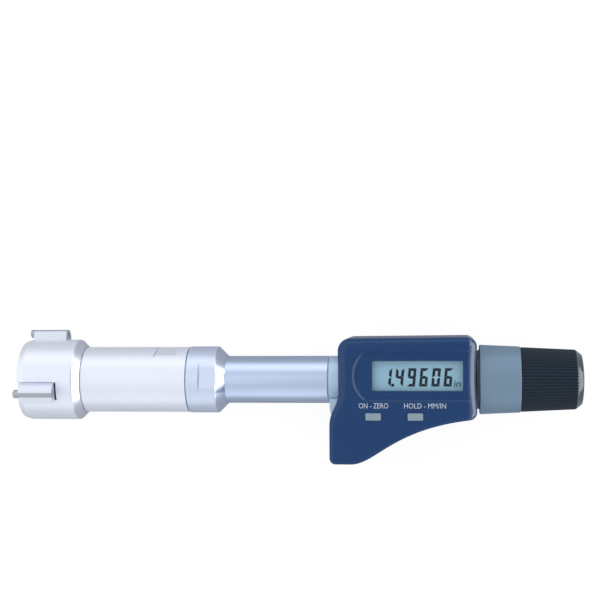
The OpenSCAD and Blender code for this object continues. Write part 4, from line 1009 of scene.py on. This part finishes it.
class MICROMETER_OT_knob(bpy.types.Operator):
    """Makes the ribbed friction knob with its domed end"""

    bl_idname = "micrometer.knob"
    bl_label = "Ribbed Knob"

    ribs: IntProperty(name="Ribs", description="Ribs round the knob", default=60, min=24, max=120)

    def execute(self, context):
        rings = knob_rings()
        count = self.ribs * RIB_STEPS

        def place(i, k):
            x, r, ribbed = rings[k]
            turn = 2 * math.pi * i / count
            if ribbed:
                wave = 0.5 - 0.5 * math.cos(2 * math.pi * (i % RIB_STEPS) / RIB_STEPS)
                r = min(r, knob_side(x) - RIB_DEPTH * wave**RIB_POWER)
            return (x, r * math.cos(turn), AXIS_H + r * math.sin(turn))

        bm = drawn(count, len(rings), place)
        crease(bm, low=65)
        add_piece("ribbed_knob", bm, "knob_black", "knob", replaces=("knob",))
        return {"FINISHED"}


class MICROMETER_OT_finishes(bpy.types.Operator):
    """Makes the finishes and gives every CAD node the one of its slot"""

    bl_idname = "micrometer.finishes"
    bl_label = "Finishes"

    def execute(self, context):
        make_finishes()
        for row in frame["record"]["subparts"]:
            mesh = frame["nodes"][row["node"]].data
            mesh.materials.clear()
            mesh.materials.append(FINISHES[row["material_slot"]])
        return {"FINISHED"}


# Studio: the camera's aim, reach and lens in millimetres, its clipping, the lamps and the floor in metres

CAMERA_YAW, CAMERA_ROLL = math.radians(6.2), math.radians(0.36)
CAMERA_AIM, CAMERA_REACH, CAMERA_LENS, CAMERA_SENSOR = (-39.2, 29.03, 14.75), 475.5, 78.0, 36.0
CAMERA_CLIP = (0.01, 20)

# Each lamp's place, aim, width, height and watts
LAMPS = {
    "overhead": ((-0.62, 0.1, 1.0), (-0.1, 0, 0), 1.0, 1.1, 1.45),
    "top_side": ((-0.1, 0.85, 0.45), (-0.05, 0, 0.01), 1.4, 0.5, 0.8),
    "right_strip": ((0.6, 0.03, 0.155), (0, 0, 0.02), 1.4, 0.29, 2.45),
}

# The floor, its share of white to the eye and in a mirror, and the sky with its falls
FLOOR_SIZE, FLOOR_DROP = 4.0, 0.0008
PAPER, WHITE, PAPER_GLOW = (0.36, 0.37, 0.39, 1), (1, 1, 1, 1), 1.5
SEEN_WHITE, MIRRORED_WHITE = 0.6, 0.1
SKY, SKY_LEVEL, SKY_TOP_FALL, SKY_RIGHT_FALL = (0.97, 0.98, 1, 1), 1.05, 0.5, 0.15


def softbox(name, at, aim, width, height, watts):
    """A rectangular lamp that faces a point."""
    lamp = bpy.data.lights.new(name, "AREA")
    lamp.shape, lamp.size, lamp.size_y, lamp.energy = "RECTANGLE", width, height, watts
    stand = bpy.data.objects.new(name, lamp)
    stand.location = at
    stand.rotation_euler = (Vector(aim) - Vector(at)).to_track_quat("-Z", "Y").to_euler()
    stand.visible_camera = False
    bpy.context.collection.objects.link(stand)


class MICROMETER_OT_studio(bpy.types.Operator):
    """Sets the floor, the lamps, the sky and the camera"""

    bl_idname = "micrometer.studio"
    bl_label = "Studio"

    def execute(self, context):
        scene = context.scene
        scene.view_settings.view_transform = "Standard"
        self.floor()
        self.sky(scene)
        for name, setting in LAMPS.items():
            softbox(name, *setting)
        self.camera(scene)
        return {"FINISHED"}

    def floor(self):
        """A pale sheet of paper that shows white to the eye, and less so in the steel."""
        bm = bmesh.new()
        bmesh.ops.create_grid(bm, x_segments=1, y_segments=1, size=FLOOR_SIZE)
        bmesh.ops.translate(bm, vec=(0, 0, -FLOOR_DROP), verts=bm.verts)
        mesh = bpy.data.meshes.new("floor")
        bm.to_mesh(mesh)
        bm.free()
        material = bpy.data.materials.new("floor_paper")
        material.use_nodes = True
        shop = Workshop(material.node_tree)
        direct, mirrored, through = (shop.node("ShaderNodeLightPath", out=ray) for ray in
                                     ("Is Camera Ray", "Is Glossy Ray", "Is Transmission Ray"))
        share = direct * SEEN_WHITE + mirrored * MIRRORED_WHITE + through * SEEN_WHITE
        paper = shop.node("ShaderNodeBsdfDiffuse", None, {"Color": PAPER})
        white = shop.node("ShaderNodeEmission", None, {"Color": WHITE, "Strength": PAPER_GLOW})
        both = shop.node("ShaderNodeMixShader", None, {0: share, 1: paper, 2: white})
        shop.node("ShaderNodeOutputMaterial", None, {"Surface": both})
        mesh.materials.append(material)
        ground = bpy.data.objects.new("floor", mesh)
        bpy.context.collection.objects.link(ground)

    def sky(self, scene):
        """An even sky, dimmer overhead and to the right, that shows white to the eye."""
        world = bpy.data.worlds.new("studio_sky")
        world.use_nodes = True
        scene.world = world
        shop = Workshop(world.node_tree)
        seen = shop.node("ShaderNodeLightPath", out="Is Camera Ray")
        way = shop.node("ShaderNodeTexCoord", out="Generated")
        height = shop.node("ShaderNodeSeparateXYZ", None, {"Vector": way}, out="Z")
        right = shop.node("ShaderNodeSeparateXYZ", None, {"Vector": way}, out="X")
        strength = look().light_level * (SKY_LEVEL - height * height * SKY_TOP_FALL - right * SKY_RIGHT_FALL)
        light = shop.node("ShaderNodeBackground", None, {"Color": SKY, "Strength": strength})
        white = shop.node("ShaderNodeBackground", None, {"Color": WHITE, "Strength": 1.0})
        both = shop.node("ShaderNodeMixShader", None, {0: seen, 1: light, 2: white})
        shop.node("ShaderNodeOutputWorld", None, {"Surface": both})

    def camera(self, scene):
        """A camera over the display side, at the photograph's angle."""
        back = Vector((math.sin(CAMERA_YAW), 0, math.cos(CAMERA_YAW)))
        across = Vector((math.cos(CAMERA_YAW), 0, -math.sin(CAMERA_YAW)))
        up = Vector((0, 1, 0))
        c, s = math.cos(CAMERA_ROLL), math.sin(CAMERA_ROLL)
        across, up = across * c - up * s, up * c + across * s
        lens = bpy.data.cameras.new("photo_camera")
        lens.lens, lens.sensor_width = CAMERA_LENS, CAMERA_SENSOR
        lens.clip_start, lens.clip_end = CAMERA_CLIP
        camera = bpy.data.objects.new("photo_camera", lens)
        turn = Matrix((across, up, back)).transposed().to_4x4()
        camera.matrix_world = Matrix.Translation((Vector(CAMERA_AIM) + back * CAMERA_REACH) * MM) @ turn
        bpy.context.collection.objects.link(camera)
        scene.camera = camera


class MICROMETER_PT_workshop(bpy.types.Panel):
    """Lists the steps that dress the micrometer"""

    bl_idname = "MICROMETER_PT_workshop"
    bl_label = "Inside Micrometer"
    bl_space_type = "VIEW_3D"
    bl_region_type = "UI"
    bl_category = "Micrometer"

    def draw(self, context):
        settings = context.scene.micrometer_look
        for key in settings.bl_rna.properties.keys():
            if key not in ("rna_type", "name"):
                self.layout.prop(settings, key)
        for step in STEPS:
            self.layout.operator(step.bl_idname)


STEPS = (MICROMETER_OT_finishes, MICROMETER_OT_housing, MICROMETER_OT_buttons, MICROMETER_OT_display,
         MICROMETER_OT_steelwork, MICROMETER_OT_thimble, MICROMETER_OT_knob, MICROMETER_OT_studio)
CLASSES = (MicrometerLook, *STEPS, MICROMETER_PT_workshop)


def register():
    """Registers the classes and the scene's settings."""
    for cls in CLASSES:
        bpy.utils.register_class(cls)
    bpy.types.Scene.micrometer_look = PointerProperty(type=MicrometerLook)


def unregister():
    """Takes back what register added."""
    del bpy.types.Scene.micrometer_look
    for cls in reversed(CLASSES):
        bpy.utils.unregister_class(cls)


def main():
    """Runs every step in order."""
    register()
    for step in STEPS:
        group, name = step.bl_idname.split(".")
        getattr(getattr(bpy.ops, group), name)()


if __name__ == "__main__":
    main()
